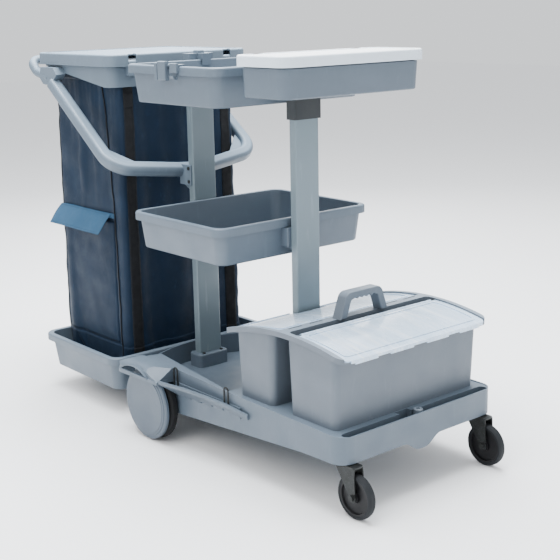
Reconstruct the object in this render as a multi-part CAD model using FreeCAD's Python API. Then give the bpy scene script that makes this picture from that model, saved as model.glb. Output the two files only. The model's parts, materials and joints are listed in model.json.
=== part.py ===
import FreeCAD
import Part
import math
import os

# Housekeeping cart. Millimetres, +Z up, +X towards the caddy end, +Y the left side of the cart
# when it is pushed by its handle at the -X end. Origin on the floor, below the middle of the
# cart's overall box.

os.makedirs("parts", exist_ok=True)
V = FreeCAD.Vector
ALONG_X = V(1, 0, 0)
ALONG_Y = V(0, 1, 0)
UP = V(0, 0, 1)

# ---- driving dimensions -------------------------------------------------------------------

WALL = 3.5                     # moulded plastic wall
RUN_GAP = 0.08                 # radial running clearance of a pin in its hole
FACE_GAP = 0.3                 # clearance between faces that slide past each other

BASE_FRONT = 628.0             # front face of the base
BASE_HALF = 251.5              # half width of the base
BASE_REAR = -176.0             # where the straight side rails end
BASE_REAR_BULGE = 62.0         # how far the curved rear wall stands out behind that
BASE_CORNER = 36.0             # plan radius of the front corners
RIM_FRONT = 188.0              # rim height at the front
RIM_REAR = 203.0               # rim height at the rear wheels
SKIRT_FRONT = 125.0            # lower edge of the skirt at the front
SKIRT_REAR = 77.0              # lower edge of the skirt at the rear wheels
DECK = 112.0                   # top of the sunken deck between the posts
LEDGE = 187.0                  # top of the ledge that the caddy stands on
LEDGE_REAR = 212.0             # rear edge of that ledge
TROUGH_REAR = 600.0            # rear edge of the trough behind the front rim
TROUGH_FLOOR = 140.0
LOBE_HALF = 66.0               # half width of the lobe that droops from the front skirt
LOBE_DROP = 24.0
RAIL_INNER = 205.0             # inner edge of the side rails at the rear
RAIL_TAPER_END = 250.0         # where the rails have thinned down to one wall

POST_LONG = 74.0               # post section, across the cart
POST_SHORT = 25.0              # post section, along the cart
POST_WALL = 2.0
REAR_POST_X = -185.0
FRONT_POST_X = 234.0
REAR_POST_TOP = 968.0
FRONT_POST_TOP = 930.0

TRAY_REAR = -167.0             # rear edge of the open trays
TRAY_FRONT = 210.0             # front edge of the open trays
TRAY_HALF = 247.0
TRAY_DEPTH = 95.0
TOP_TRAY_RIM = 956.0
MID_TRAY_RIM = 584.0

COLLAR_T = 5.0                 # wall of the dark collar on the front post
FRONT_TRAY_BOTTOM = 890.0
FRONT_LID_TOP = 985.0
FRONT_LID_BOTTOM = 960.0
FRONT_LID_REAR = 241.0
FRONT_LID_FRONT = 428.0
FRONT_LID_HALF = 225.0

BAG_LID_REAR = -646.0
BAG_LID_FRONT = -262.0
BAG_LID_HALF = 231.0
BAG_LID_TOP = 975.0
BAG_LID_BOTTOM = 943.0

STRUT_HALF = 236.0             # from the middle of the cart to the middle of a strut arm
STRUT_TOP = V(-545, 0, 893)    # upper end of the arms' centre line
STRUT_MID = V(-224, 0, 657)    # centre line where the cross-bar meets the rear post
STRUT_W = 36.0                 # bar section, across
STRUT_H = 34.0

BAG_TRAY_REAR = -648.0
BAG_TRAY_FRONT = -256.0
BAG_TRAY_HALF = 267.0
BAG_TRAY_RIM = 160.5
BAG_TRAY_FLOOR = 61.0

CADDY_REAR = 203.0
CADDY_FRONT = 615.0
CADDY_HALF = 241.0
CADDY_ARCH = [V(203, 0, 344), V(430, 0, 380), V(615, 0, 358)]    # top edge of the rim
CADDY_RIM = 12.0               # depth of the rim band
SPINE_REAR = 400.0             # fixed strip that carries the handle
SPINE_FRONT = 450.0

CASTER_D = 103.0
CASTER_TREAD = 20.0
CASTER_SWIVEL_X = 595.0
CASTER_TRAIL = 40.0
CASTER_HALF = 217.0            # from the middle of the cart to a caster's swivel axis

REAR_WHEEL_X = -65.0
REAR_WHEEL_D = 190.0
REAR_TYRE_IN = 255.0           # inner face of the rear tyre
REAR_TYRE_OUT = 279.0
REAR_COVER_IN = 283.0
REAR_COVER_OUT = 299.0
REAR_COVER_D = 187.0
REAR_AXLE_R = 8.0
BUSH_R = 12.0                  # bush that carries the rear axle in the base's side wall

FENDER_REAR = -180.0
FENDER_FRONT = 6.0
FENDER_HALF = 311.0
FENDER_LIP = 165.0             # underside of the lip
SLOPE_END = V(0, -59.5, -36)   # directions in the plane of the fender's sloping front end
SLOPE_TOP = V(-46, -38.5, -3)
SHELF_REAR = 9.0
SHELF_FRONT = 312.0
HOOK_TOP = 206.0               # top of the wire hooks that hold the shelf to the base

SIDES = {"right": -1, "left": 1}

# ---- helpers ------------------------------------------------------------------------------


def box(x0, x1, y0, y1, z0, z1):
    """Box between two corners, given in any order."""
    low = V(min(x0, x1), min(y0, y1), min(z0, z1))
    return Part.makeBox(abs(x1 - x0), abs(y1 - y0), abs(z1 - z0), low)


def cyl(radius, start, end):
    """Cylinder between two points."""
    axis = end.sub(start)
    return Part.makeCylinder(radius, axis.Length, start, axis)


def rounded(x0, x1, y0, y1, r, z):
    """Rounded rectangle wire at height z."""
    k = r * (1 - math.sqrt(0.5))
    mids = [V(x0 + k, y0 + k, z), V(x1 - k, y0 + k, z), V(x1 - k, y1 - k, z), V(x0 + k, y1 - k, z)]
    ins = [V(x0, y0 + r, z), V(x1 - r, y0, z), V(x1, y1 - r, z), V(x0 + r, y1, z)]
    outs = [V(x0 + r, y0, z), V(x1, y0 + r, z), V(x1 - r, y1, z), V(x0, y1 - r, z)]
    edges = []
    for i in range(4):
        edges.append(Part.Arc(ins[i], mids[i], outs[i]).toShape())
        edges.append(Part.makeLine(outs[i], ins[(i + 1) % 4]))
    return Part.Wire(edges)


def plate(x0, x1, y0, y1, r, z0, z1):
    """Plate with rounded corners in plan."""
    return Part.Face(rounded(x0, x1, y0, y1, r, z0)).extrude(V(0, 0, z1 - z0))


def drafted(low, high):
    """Solid between two rounded rectangles, each given as x0, x1, half width, radius, z."""
    wires = []
    for x0, x1, half, r, z in (low, high):
        wires.append(rounded(x0, x1, -half, half, r, z))
    return Part.makeLoft(wires, True, True)


def side_prism(points, y0, y1):
    """Extrude an outline given as (x, z) pairs from y0 to y1."""
    corners = [V(x, y0, z) for x, z in points]
    face = Part.Face(Part.makePolygon(corners + corners[:1]))
    return face.extrude(V(0, y1 - y0, 0))


def plan_prism(points, z0, z1):
    """Extrude an outline given as (x, y) pairs from z0 to z1."""
    corners = [V(x, y, z0) for x, y in points]
    face = Part.Face(Part.makePolygon(corners + corners[:1]))
    return face.extrude(V(0, 0, z1 - z0))


def fuse(shapes):
    """One clean solid out of several that touch."""
    whole = shapes[0].fuse(shapes[1:]) if len(shapes) > 1 else shapes[0]
    return whole.removeSplitter()


def group(shapes):
    """Separate solids that share one node."""
    solids = []
    for shape in shapes:
        solids.extend(shape.Solids)
    return Part.makeCompound(solids)


def mirrored(shape):
    """The same piece on the other side of the cart."""
    return shape.mirror(V(0, 0, 0), ALONG_Y)


def fillet_where(shape, radius, test):
    """Round the edges whose bounding box passes the test."""
    edges = [e for e in shape.Edges if test(e.BoundBox)]
    return shape.makeFillet(radius, edges)


def save(name, shape):
    shape.exportStep("parts/%s.step" % name)


def lathe(points, centre, axis):
    """Turn an outline of (radius, distance) pairs round an axis through centre."""
    side = V(1, 0, 0) if abs(axis.x) < 0.5 else V(0, 1, 0)
    corners = []
    for r, d in points:
        corners.append(centre + side * r + axis * d)
    face = Part.Face(Part.makePolygon(corners + corners[:1]))
    return face.revolve(centre, axis, 360)


# ---- base ---------------------------------------------------------------------------------


def base_plan(inset, z):
    """Outline of the base: straight sides, rounded front corners, curved rear wall."""
    half = BASE_HALF - inset
    front = BASE_FRONT - inset
    rear = BASE_REAR + inset
    r = BASE_CORNER - inset
    k = r * (1 - math.sqrt(0.5))
    side_end = RAIL_INNER - inset
    bulge = V(rear - BASE_REAR_BULGE, 0, z)
    edges = [
        Part.makeLine(V(rear, -half, z), V(front - r, -half, z)),
        Part.Arc(V(front - r, -half, z), V(front - k, -half + k, z), V(front, -half + r, z)).toShape(),
        Part.makeLine(V(front, -half + r, z), V(front, half - r, z)),
        Part.Arc(V(front, half - r, z), V(front - k, half - k, z), V(front - r, half, z)).toShape(),
        Part.makeLine(V(front - r, half, z), V(rear, half, z)),
        Part.makeLine(V(rear, half, z), V(rear, side_end, z)),
        Part.Arc(V(rear, side_end, z), bulge, V(rear, -side_end, z)).toShape(),
        Part.makeLine(V(rear, -side_end, z), V(rear, -half, z)),
    ]
    return Part.Face(Part.Wire(edges))


def make_lobe():
    """Lobe that droops from the middle of the front skirt."""
    bottom = SKIRT_FRONT - LOBE_DROP
    start = V(0, -LOBE_HALF, SKIRT_FRONT)
    end = V(0, LOBE_HALF, SKIRT_FRONT)
    curve = Part.BSplineCurve()
    curve.interpolate([start, V(0, -40, SKIRT_FRONT - 8), V(0, -20, bottom + 3), V(0, 0, bottom),
                       V(0, 20, bottom + 3), V(0, 40, SKIRT_FRONT - 8), end])
    overlap = V(0, 0, 6)
    back = Part.makePolygon([end, end + overlap, start + overlap, start])
    lobe = Part.Face(Part.Wire([curve.toShape()] + back.Edges)).extrude(V(-WALL, 0, 0))
    lobe.translate(V(BASE_FRONT, 0, 0))
    return lobe


def make_base():
    low = SKIRT_REAR - 30
    body = base_plan(0, low).extrude(V(0, 0, RIM_REAR - low))
    rear_most = BASE_REAR - BASE_REAR_BULGE - 10
    arc_top = 168.0
    above = side_prism([
        (rear_most, arc_top), (BASE_REAR - 0.5, arc_top), (BASE_REAR - 0.5, RIM_REAR - 22),
        (BASE_REAR + 70, RIM_REAR), (266, 193), (BASE_FRONT + 1, RIM_FRONT),
        (BASE_FRONT + 1, 300), (rear_most, 300)], -300, 300)
    below = side_prism([
        (rear_most, SKIRT_REAR), (-35, SKIRT_REAR), (500, 121), (BASE_FRONT + 1, SKIRT_FRONT),
        (BASE_FRONT + 1, 0), (rear_most, 0)], -300, 300)
    body = body.cut(above.fuse(below))
    # the tub between the rails, with its floor at DECK
    rail_in = RAIL_INNER
    inner = BASE_HALF - WALL
    well = plan_prism([
        (BASE_REAR + 8, -rail_in), (RAIL_TAPER_END - 60, -inner + 6), (LEDGE_REAR, -inner),
        (LEDGE_REAR, inner), (RAIL_TAPER_END - 60, inner - 6), (BASE_REAR + 8, rail_in)], DECK, 300)
    rear_well = base_plan(WALL, DECK).extrude(V(0, 0, 200))
    rear_well = rear_well.common(box(-300, BASE_REAR + 9, -rail_in + 2, rail_in - 2, 0, 400))
    body = body.cut(well.fuse(rear_well))
    # caddy ledge, and the trough in front of it
    upper = base_plan(WALL, LEDGE).extrude(V(0, 0, 200))
    upper = upper.common(box(LEDGE_REAR - 1, 700, -300, 300, 0, 400))
    trough = plate(TROUGH_REAR, BASE_FRONT - WALL, -inner + 14, inner - 14, 10, TROUGH_FLOOR, 300)
    latch_notch = box(TROUGH_REAR - 15, TROUGH_REAR + 1, -48, -8, TROUGH_FLOOR, 300)
    body = body.cut(upper.fuse([trough, latch_notch]))
    # undersides
    under = [
        (BASE_REAR + 12, LEDGE_REAR - WALL, inner, DECK - WALL),
        (LEDGE_REAR + WALL, 548, inner, LEDGE - WALL),
        (552, BASE_FRONT - WALL, 160, TROUGH_FLOOR - WALL),
    ]
    for x0, x1, half, top in under:
        body = body.cut(plate(x0, x1, -half, half, 8, 0, top))
    rear_under = base_plan(WALL, 0).extrude(V(0, 0, DECK - WALL))
    body = body.cut(rear_under.common(box(-300, BASE_REAR + 13, -rail_in + 2, rail_in - 2, 0, 400)))
    pads_room = plate(552, BASE_FRONT - WALL, -inner, inner, 30, 0, TROUGH_FLOOR - 4)
    body = body.cut(pads_room)
    # hollow rails, open below
    for side in (-1, 1):
        hollow = plan_prism([
            (BASE_REAR + 14, side * (rail_in + WALL)), (RAIL_TAPER_END - 150, side * (inner - 5)),
            (RAIL_TAPER_END - 150, side * inner), (BASE_REAR + 14, side * inner)], 0, 178)
        body = body.cut(hollow)
    body = body.fuse(make_lobe())
    # rear axle holes with a boss on each side wall
    for side in (-1, 1):
        boss = cyl(20, V(REAR_WHEEL_X, side * (BASE_HALF - 16), REAR_WHEEL_D / 2),
                   V(REAR_WHEEL_X, side * BASE_HALF, REAR_WHEEL_D / 2))
        body = body.fuse(boss)
    axle_y = BASE_HALF + 5
    axle_z = REAR_WHEEL_D / 2
    body = body.cut(cyl(BUSH_R, V(REAR_WHEEL_X, -axle_y, axle_z), V(REAR_WHEEL_X, axle_y, axle_z)))
    # post pockets through the deck
    for x in (REAR_POST_X, FRONT_POST_X):
        body = body.cut(post_block(x, FACE_GAP, 0, 400))
    return body.removeSplitter()


def post_block(x, grow, z0, z1):
    """Solid with a post's outer section, grown all round."""
    half_short = POST_SHORT / 2 + grow
    half_long = POST_LONG / 2 + grow
    return plate(x - half_short, x + half_short, -half_long, half_long, 4, z0, z1)


def make_socket(x, z0, z1, foot):
    """Raised socket round the foot of a post, with a wider foot plate."""
    half_short = POST_SHORT / 2
    half_long = POST_LONG / 2
    corner = 2 + 0.8 * foot
    block = plate(x - half_short - foot, x + half_short + foot + 4, -half_long - foot, half_long + foot,
                  corner, z0, z1)
    block = fillet_where(block, min(5, 0.6 * foot), lambda b: b.ZMin > z1 - 0.1)
    return block.cut(post_block(x, 0.05, z0 - 5, z1 + 5))


def make_post(x, z0, z1):
    outer = post_block(x, 0, z0, z1)
    return outer.cut(plate(x - POST_SHORT / 2 + POST_WALL, x + POST_SHORT / 2 - POST_WALL,
                           -POST_LONG / 2 + POST_WALL, POST_LONG / 2 - POST_WALL, 2.2, z0 - 1, z1 + 1))


save("base", make_base())
save("rear_post_socket", make_socket(REAR_POST_X, DECK, DECK + 38, 13))
front_socket = make_socket(FRONT_POST_X, LEDGE, LEDGE + 30, 3.5)
save("front_post_socket", front_socket.common(box(0, 249.8, -60, 60, 0, 400)))
save("rear_post", make_post(REAR_POST_X, DECK - WALL - 8, REAR_POST_TOP))
save("front_post", make_post(FRONT_POST_X, LEDGE - WALL - 8, FRONT_POST_TOP))


# ---- fenders, side shelf and rear platform --------------------------------------------------


def fender_skin(inset, open_below):
    """Wheel arch box on the right side, shrunk by inset; built at -Y."""
    face = -BASE_HALF - 0.05
    out = FENDER_HALF - inset
    rear = FENDER_REAR + inset
    front = FENDER_FRONT - inset
    low = 100.0 if open_below else FENDER_LIP
    corner = 34.0
    k = corner * (1 - math.sqrt(0.5))
    bend_from = V(rear, -out + corner, low)
    bend_to = V(rear + corner, -out, low)
    edges = [
        Part.makeLine(V(rear, face, low), bend_from),
        Part.Arc(bend_from, V(rear + k, -out + k, low), bend_to).toShape(),
        Part.makeLine(bend_to, V(front, -out + 7, low)),
        Part.makeLine(V(front, -out + 7, low), V(front, face, low)),
        Part.makeLine(V(front, face, low), V(rear, face, low)),
    ]
    plan = Part.Face(Part.Wire(edges)).extrude(V(0, 0, 120))
    roof = Part.BSplineCurve()
    top = RIM_REAR - inset
    roof.interpolate([V(-400, face, top), V(-400, -275, top - 1), V(-400, -298, top - 7),
                      V(-400, -out, top - 30)])
    across = Part.Wire([roof.toShape()] + Part.makePolygon([
        V(-400, -out, top - 30), V(-400, -out, 90), V(-400, face, 90), V(-400, face, top)]).Edges)
    across = Part.Face(across).extrude(V(800, 0, 0))
    hump = Part.BSplineCurve()
    hump.interpolate([V(FENDER_REAR - 1, -400, top - 27), V(-158, -400, top - 9), V(-120, -400, top),
                      V(-60, -400, top), V(FENDER_FRONT + 1, -400, top - 3)])
    along = Part.Wire([hump.toShape()] + Part.makePolygon([
        V(FENDER_FRONT + 1, -400, top - 3), V(FENDER_FRONT + 1, -400, 90), V(FENDER_REAR - 1, -400, 90),
        V(FENDER_REAR - 1, -400, top - 27)]).Edges)
    along = Part.Face(along).extrude(V(0, 300, 0))
    # the front end falls from the rail's edge to the lip, across SLOPE_END and back along SLOPE_TOP
    fall = SLOPE_TOP.cross(SLOPE_END).normalize()
    edge = V(FENDER_FRONT, face, RIM_REAR) - fall * inset
    slope = Part.makeBox(400, 400, 200, V(-200, -200, 0))
    slope.Placement = FreeCAD.Placement(edge, FreeCAD.Rotation(UP, fall))
    return plan.common(across).common(along).cut(slope)


def half_moon(grow, y0, y1):
    """Arched opening above the lip."""
    x0 = -150 - grow
    x1 = -34 + grow
    floor = 176.0 - grow
    peak = 193.5 + grow
    arc = Part.Arc(V(x0, y0, floor), V((x0 + x1) / 2, y0, peak), V(x1, y0, floor)).toShape()
    face = Part.Face(Part.Wire([arc, Part.makeLine(V(x1, y0, floor), V(x0, y0, floor))]))
    return face.extrude(V(0, y1 - y0, 0))


def make_fender():
    skin = fender_skin(0, False)
    eyebrow = half_moon(3.5, -FENDER_HALF - 1.2, -FENDER_HALF + 12)
    lip = fender_skin(-2, False).common(box(-400, 400, -400, -BASE_HALF - 20, FENDER_LIP, FENDER_LIP + 9))
    skin = skin.fuse([eyebrow, lip])
    skin = skin.cut(fender_skin(WALL, True).common(box(-400, 400, -400, -BASE_HALF - WALL, 0, 400)))
    wheel_room = cyl(REAR_WHEEL_D / 2 + 4, V(REAR_WHEEL_X, -BASE_HALF - 2, REAR_WHEEL_D / 2),
                     V(REAR_WHEEL_X, -REAR_COVER_OUT - 3, REAR_WHEEL_D / 2))
    skin = skin.cut(wheel_room)
    return skin.cut(half_moon(0, -400, -FENDER_HALF + 14)).removeSplitter()


def make_shelf():
    """Tapered outrigger shelf on the right side, behind it the slots for hanging tools."""
    wall = BASE_HALF + 2.3
    stations = [(SHELF_REAR, 303, 174, 134), (90, 285, 172, 136), (170, 275, 170, 140),
                (240, 267, 166, 144), (SHELF_FRONT, 259, 156, 146)]
    wires = []
    for x, lip, top, low in stations:
        wires.append(Part.makePolygon([
            V(x, -wall, low), V(x, -wall, low + 8), V(x, -lip + 5, top - 3), V(x, -lip + 5, top + 3),
            V(x, -lip + 1, top + 4), V(x, -lip - 1, top), V(x, -lip, top - 5), V(x, -wall - 3, low),
            V(x, -wall, low)]))
    shelf = Part.makeLoft(wires, True, True)
    slot_count = 5
    pitch = 44.0
    for i in range(slot_count):
        x = SHELF_REAR + 34 + i * pitch
        shelf = shelf.cut(box(x, x + 26, -wall - 3.5, -wall - 9, 120, 190))
    back = box(SHELF_REAR + 4, SHELF_FRONT - 30, -wall, -wall - 2.5, 140, 168)
    wheel_room = cyl(REAR_WHEEL_D / 2 + 5, V(REAR_WHEEL_X, -BASE_HALF, REAR_WHEEL_D / 2),
                     V(REAR_WHEEL_X, -FENDER_HALF, REAR_WHEEL_D / 2))
    return shelf.fuse(back).cut(wheel_room).removeSplitter()


def rounded_path(points, radius):
    """Wire through the points, with each inner corner turned into an arc."""
    edges = []
    start = points[0]
    for i in range(1, len(points) - 1):
        before = (points[i - 1] - points[i]).normalize()
        after = (points[i + 1] - points[i]).normalize()
        r = radius[i - 1] if isinstance(radius, list) else radius
        half = before.getAngle(after) / 2
        reach = r / math.tan(half)
        p0 = points[i] + before * reach
        p1 = points[i] + after * reach
        to_centre = (before + after).normalize() * (r / math.sin(half))
        mid = points[i] + to_centre - (before + after).normalize() * r
        edges.append(Part.makeLine(start, p0))
        edges.append(Part.Arc(p0, mid, p1).toShape())
        start = p1
    edges.append(Part.makeLine(start, points[-1]))
    return Part.Wire(edges)


def rod(points, radius, bends):
    """Round bar along a path."""
    path = rounded_path(points, bends)
    heading = (points[1] - points[0]).normalize()
    ring = Part.Wire(Part.makeCircle(radius, points[0], heading))
    return path.makePipeShell([ring], True, False)


def make_shelf_hooks():
    hooks = []
    for x in (24, 232):
        y = -BASE_HALF - 6.6
        half = 7.5
        foot = 150.0 if x < 100 else 152.0
        path = [V(x - half, y, foot), V(x - half, y, HOOK_TOP),
                V(x + half, y, HOOK_TOP), V(x + half, y, foot)]
        hooks.append(rod(path, 2.2, 7.3))
    return group(hooks)


fender = make_fender()
save("fender_right", fender)
save("fender_left", mirrored(fender))
hooks = make_shelf_hooks()
save("side_shelf", make_shelf().cut(hooks))
save("shelf_hooks", hooks)


def make_rear_platform():
    """Ribbed shelf behind the base, which the bag tray stands on."""
    top = BAG_TRAY_FLOOR
    half = 188.0
    rear = BAG_TRAY_REAR + 40
    joint = BASE_REAR + 6
    slab = plate(rear, joint + 34, -half, half, 20, top - 4, top)
    ribs = []
    for y in (-half, -95, -2, 91, half - 4):
        ribs.append(box(rear + 22, joint + 30, y, y + 4, top - 14, top - 3))
    riser = plate(joint, joint + 34, -half, half, 8, top - 14, DECK - WALL)
    riser = riser.cut(plate(joint + 4, joint + 30, -half + 4, half - 4, 6, 0, DECK - WALL - 5))
    return fuse([slab, riser] + ribs)


save("rear_platform", make_rear_platform())


# ---- trays --------------------------------------------------------------------------------


def tray_outer(x0, x1, half, rim, floor, lip, inset, r):
    """Drafted outside of a tray's body, below its rim."""
    high = (x0 + lip, x1 - lip, half - lip, r - 6, rim)
    low = (x0 + inset, x1 - inset, half - inset, r - 8, floor)
    return drafted(low, high)


def make_tray(x0, x1, half, rim, floor, lip, lip_depth, inset, r):
    """Open tray with a rolled rim: lip wide and lip_depth deep."""
    outer = tray_outer(x0, x1, half, rim, floor, lip - WALL, inset, r)
    outer = fillet_where(outer, 5, lambda b: b.ZMax < floor + 0.1)
    inner = drafted((x0 + inset + WALL, x1 - inset - WALL, half - inset - WALL, r - 10, floor + WALL),
                    (x0 + lip, x1 - lip, half - lip, r - 8, rim + 1))
    roll = plate(x0, x1, -half, half, r, rim - lip_depth, rim)
    roll = fillet_where(roll, 5.5, lambda b: b.ZMin > rim - 0.1)
    hollow = plate(x0 + 3, x1 - 3, -half + 3, half - 3, r - 3, rim - lip_depth - 1, rim - 6)
    roll = roll.cut(hollow.cut(outer))
    tray = outer.fuse(roll).cut(inner)
    mouth = [e for e in tray.Edges if e.BoundBox.ZMin > rim - 0.1 and e.BoundBox.XMin > x0 + lip - 1
             and e.BoundBox.XMax < x1 - lip + 1 and abs(e.BoundBox.YMin) < half - lip + 1]
    return tray.makeFillet(3.0, mouth)


open_tray = [TRAY_REAR, TRAY_FRONT, TRAY_HALF]
tray_shape = [13.0, 21.0, 19.0, 34.0]
mid_floor = MID_TRAY_RIM - TRAY_DEPTH
top_floor = TOP_TRAY_RIM - TRAY_DEPTH
save("mid_tray", make_tray(*open_tray, MID_TRAY_RIM, mid_floor, *tray_shape))
save("top_tray", make_tray(*open_tray, TOP_TRAY_RIM, top_floor, *tray_shape))


def make_tray_brackets(rim, floor, front_face):
    """Blocks that join a tray's end walls to the rear post and to front_face."""
    body = tray_outer(*open_tray, rim, floor, tray_shape[0] - WALL, tray_shape[2], tray_shape[3])
    top = rim - tray_shape[1] - 2
    low = floor + 16
    half = 46.0
    rear_face = REAR_POST_X + POST_SHORT / 2
    rear = plate(rear_face, TRAY_REAR + 40, -half + 10, half - 10, 3, low, top)
    front = plate(TRAY_FRONT - 40, front_face, -half, half, 3, low + 10, top)
    lower = plate(TRAY_FRONT - 40, front_face, -half + 16, half - 16, 3, low, low + 10)
    return group([rear.cut(body), front.fuse(lower).removeSplitter().cut(body)])


post_face = FRONT_POST_X - POST_SHORT / 2
save("mid_tray_brackets", make_tray_brackets(MID_TRAY_RIM, mid_floor, post_face))
save("top_tray_brackets", make_tray_brackets(TOP_TRAY_RIM, top_floor, post_face - COLLAR_T))

# bag tray behind the base
save("bag_tray", make_tray(BAG_TRAY_REAR, BAG_TRAY_FRONT, BAG_TRAY_HALF, BAG_TRAY_RIM, BAG_TRAY_FLOOR,
                           15.0, 20.0, 23.0, 36.0))


def make_post_cap():
    """Cap on the rear post with a tongue that hooks over the top tray's rear rim."""
    x = REAR_POST_X
    rim = TOP_TRAY_RIM
    cap = plate(x - 16, x + 15.5, -41, 41, 5, REAR_POST_TOP - 26, REAR_POST_TOP + 4)
    cap = cap.cut(post_block(x, 0.0, REAR_POST_TOP - 40, REAR_POST_TOP))
    tongue = box(x + 10, TRAY_REAR + 20, -14, 14, REAR_POST_TOP - 5, REAR_POST_TOP + 4)
    nose = box(TRAY_REAR + 17, TRAY_REAR + 20, -14, 14, rim - 14, REAR_POST_TOP + 4)
    seat = box(x + 12.5, TRAY_REAR + 18, -14, 14, rim, REAR_POST_TOP)
    crest = box(x - 8, x + 14, -10, 10, REAR_POST_TOP + 3, REAR_POST_TOP + 12)
    crest = fillet_where(crest, 4, lambda b: b.ZMin > REAR_POST_TOP + 11.9)
    return fuse([cap, tongue, nose, seat, crest]).cut(post_block(x, 0.0, 0, REAR_POST_TOP))


save("rear_post_cap", make_post_cap())

# ---- front tray with its lid --------------------------------------------------------------

front_tray_low = (FRONT_LID_REAR + 17, FRONT_LID_FRONT - 15, FRONT_LID_HALF - 15, 24, FRONT_TRAY_BOTTOM)
front_tray_high = (FRONT_LID_REAR + 13, FRONT_LID_FRONT - 11, FRONT_LID_HALF - 11, 28, FRONT_LID_BOTTOM - 3)


def shrunk(section, by, z):
    x0, x1, half, r, _ = section
    return (x0 + by, x1 - by, half - by, r - by, z)


def ears(x, z, ys, width, foot_x, foot_z):
    """Hinge ears standing up to a pin along Y at x, z."""
    made = []
    for y in ys:
        disc = cyl(7, V(x, y - width / 2, z), V(x, y + width / 2, z))
        web = side_prism([(x - 7, z), (x + 7, z), (x + 7, foot_z), (min(foot_x, x - 7), foot_z)],
                         y - width / 2, y + width / 2)
        made.append(disc.fuse(web))
    return made


def pins(x, z, ys, length, radius):
    made = []
    for y in ys:
        made.append(cyl(radius, V(x, y - length / 2, z), V(x, y + length / 2, z)))
    return made


PANEL_SINK = 1.2               # depth of the shallow panel in a lid's top


def lid_shell(x0, x1, half, r, low, high, edge):
    """Lid: flat top with a shallow panel, skirt all round, hollow below."""
    shell = plate(x0, x1, -half, half, r, low, high)
    shell = fillet_where(shell, edge, lambda b: b.ZMin > high - 0.1)
    roof = high - WALL - PANEL_SINK
    shell = shell.cut(plate(x0 + WALL, x1 - WALL, -half + WALL, half - WALL, r - WALL, low - 1, roof))
    edge_w = 17
    return shell.cut(plate(x0 + edge_w, x1 - edge_w, -half + edge_w, half - edge_w, max(r - edge_w, 6),
                           high - PANEL_SINK, high + 1))


HINGE_YS = (-156, 156)
EAR_W = 24.0
PIN_R = 3.0
PIN_LEN = 58.0


def hinged_lid(shell, x, z, inward):
    """Cut ear notches at the hinge edge, add pin blocks beside them and drill them."""
    for y in HINGE_YS:
        far = EAR_W / 2 + 16
        edge = x - inward * 6.0
        block_low = max(z - 7, shell.BoundBox.ZMin)
        block_high = min(z + 7, shell.BoundBox.ZMax)
        shell = shell.fuse(box(edge, x + inward * 10, y - far, y + far, block_low, block_high))
        notch_half = EAR_W / 2 + 1
        shell = shell.cut(box(x - inward * 30, x + inward * 10.5, y - notch_half, y + notch_half, 0, 2000))
        hole_half = PIN_LEN / 2 + 0.5
        shell = shell.cut(cyl(PIN_R + RUN_GAP, V(x, y - hole_half, z), V(x, y + hole_half, z)))
    return shell.removeSplitter()


FRONT_PIN = (FRONT_LID_REAR + 7, FRONT_LID_BOTTOM + 8)


def make_front_tray():
    outer = drafted(front_tray_low, front_tray_high)
    outer = fillet_where(outer, 4, lambda b: b.ZMax < FRONT_TRAY_BOTTOM + 0.1)
    inner = drafted(shrunk(front_tray_low, WALL, FRONT_TRAY_BOTTOM + WALL),
                    shrunk(front_tray_high, WALL, FRONT_LID_BOTTOM))
    tray = outer.cut(inner)
    x, z = FRONT_PIN
    for ear in ears(x, z, HINGE_YS, EAR_W, x, FRONT_LID_BOTTOM - 16):
        hold = box(x - 7, FRONT_LID_REAR + 17, ear.BoundBox.YMin, ear.BoundBox.YMax,
                   FRONT_LID_BOTTOM - 16, FRONT_LID_BOTTOM - 2)
        tray = tray.fuse(ear.fuse(hold.cut(inner)))
    for y in HINGE_YS:
        tray = tray.cut(cyl(PIN_R, V(x, y - 40, z), V(x, y + 40, z)))
    return tray.removeSplitter()


save("front_tray", make_front_tray())
front_shell = lid_shell(FRONT_LID_REAR, FRONT_LID_FRONT, FRONT_LID_HALF, 38, FRONT_LID_BOTTOM,
                        FRONT_LID_TOP, 5)
save("front_tray_lid", hinged_lid(front_shell, *FRONT_PIN, 1))
save("front_lid_pins", group(pins(*FRONT_PIN, HINGE_YS, PIN_LEN, PIN_R)))


def make_collar():
    """Dark sleeve on the front post, with the arm that carries the front tray."""
    x = FRONT_POST_X
    grow = COLLAR_T
    low = 825.0
    high = FRONT_POST_TOP + 4
    sleeve = plate(x - POST_SHORT / 2 - grow, x + POST_SHORT / 2 + grow, -POST_LONG / 2 - grow,
                   POST_LONG / 2 + grow, 5, low, high)
    arm_half = POST_LONG / 2 + grow
    arm = box(x, FRONT_LID_REAR + 30, -arm_half, arm_half, FRONT_TRAY_BOTTOM + 4, high - 6)
    whole = fuse([sleeve, arm]).cut(drafted(front_tray_low, front_tray_high))
    return whole.cut(post_block(x, 0.0, low - 5, FRONT_POST_TOP))


save("front_tray_collar", make_collar())

# ---- bag frame, lid, handle and strut -------------------------------------------------------

FRAME_REAR = BAG_LID_REAR + 16
FRAME_FRONT = BAG_LID_FRONT - 18
FRAME_HALF = BAG_LID_HALF - 16
FRAME_TOP = BAG_LID_BOTTOM - 2
BAG_PIN = (BAG_LID_FRONT - 7, BAG_LID_BOTTOM + 9)


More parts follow.
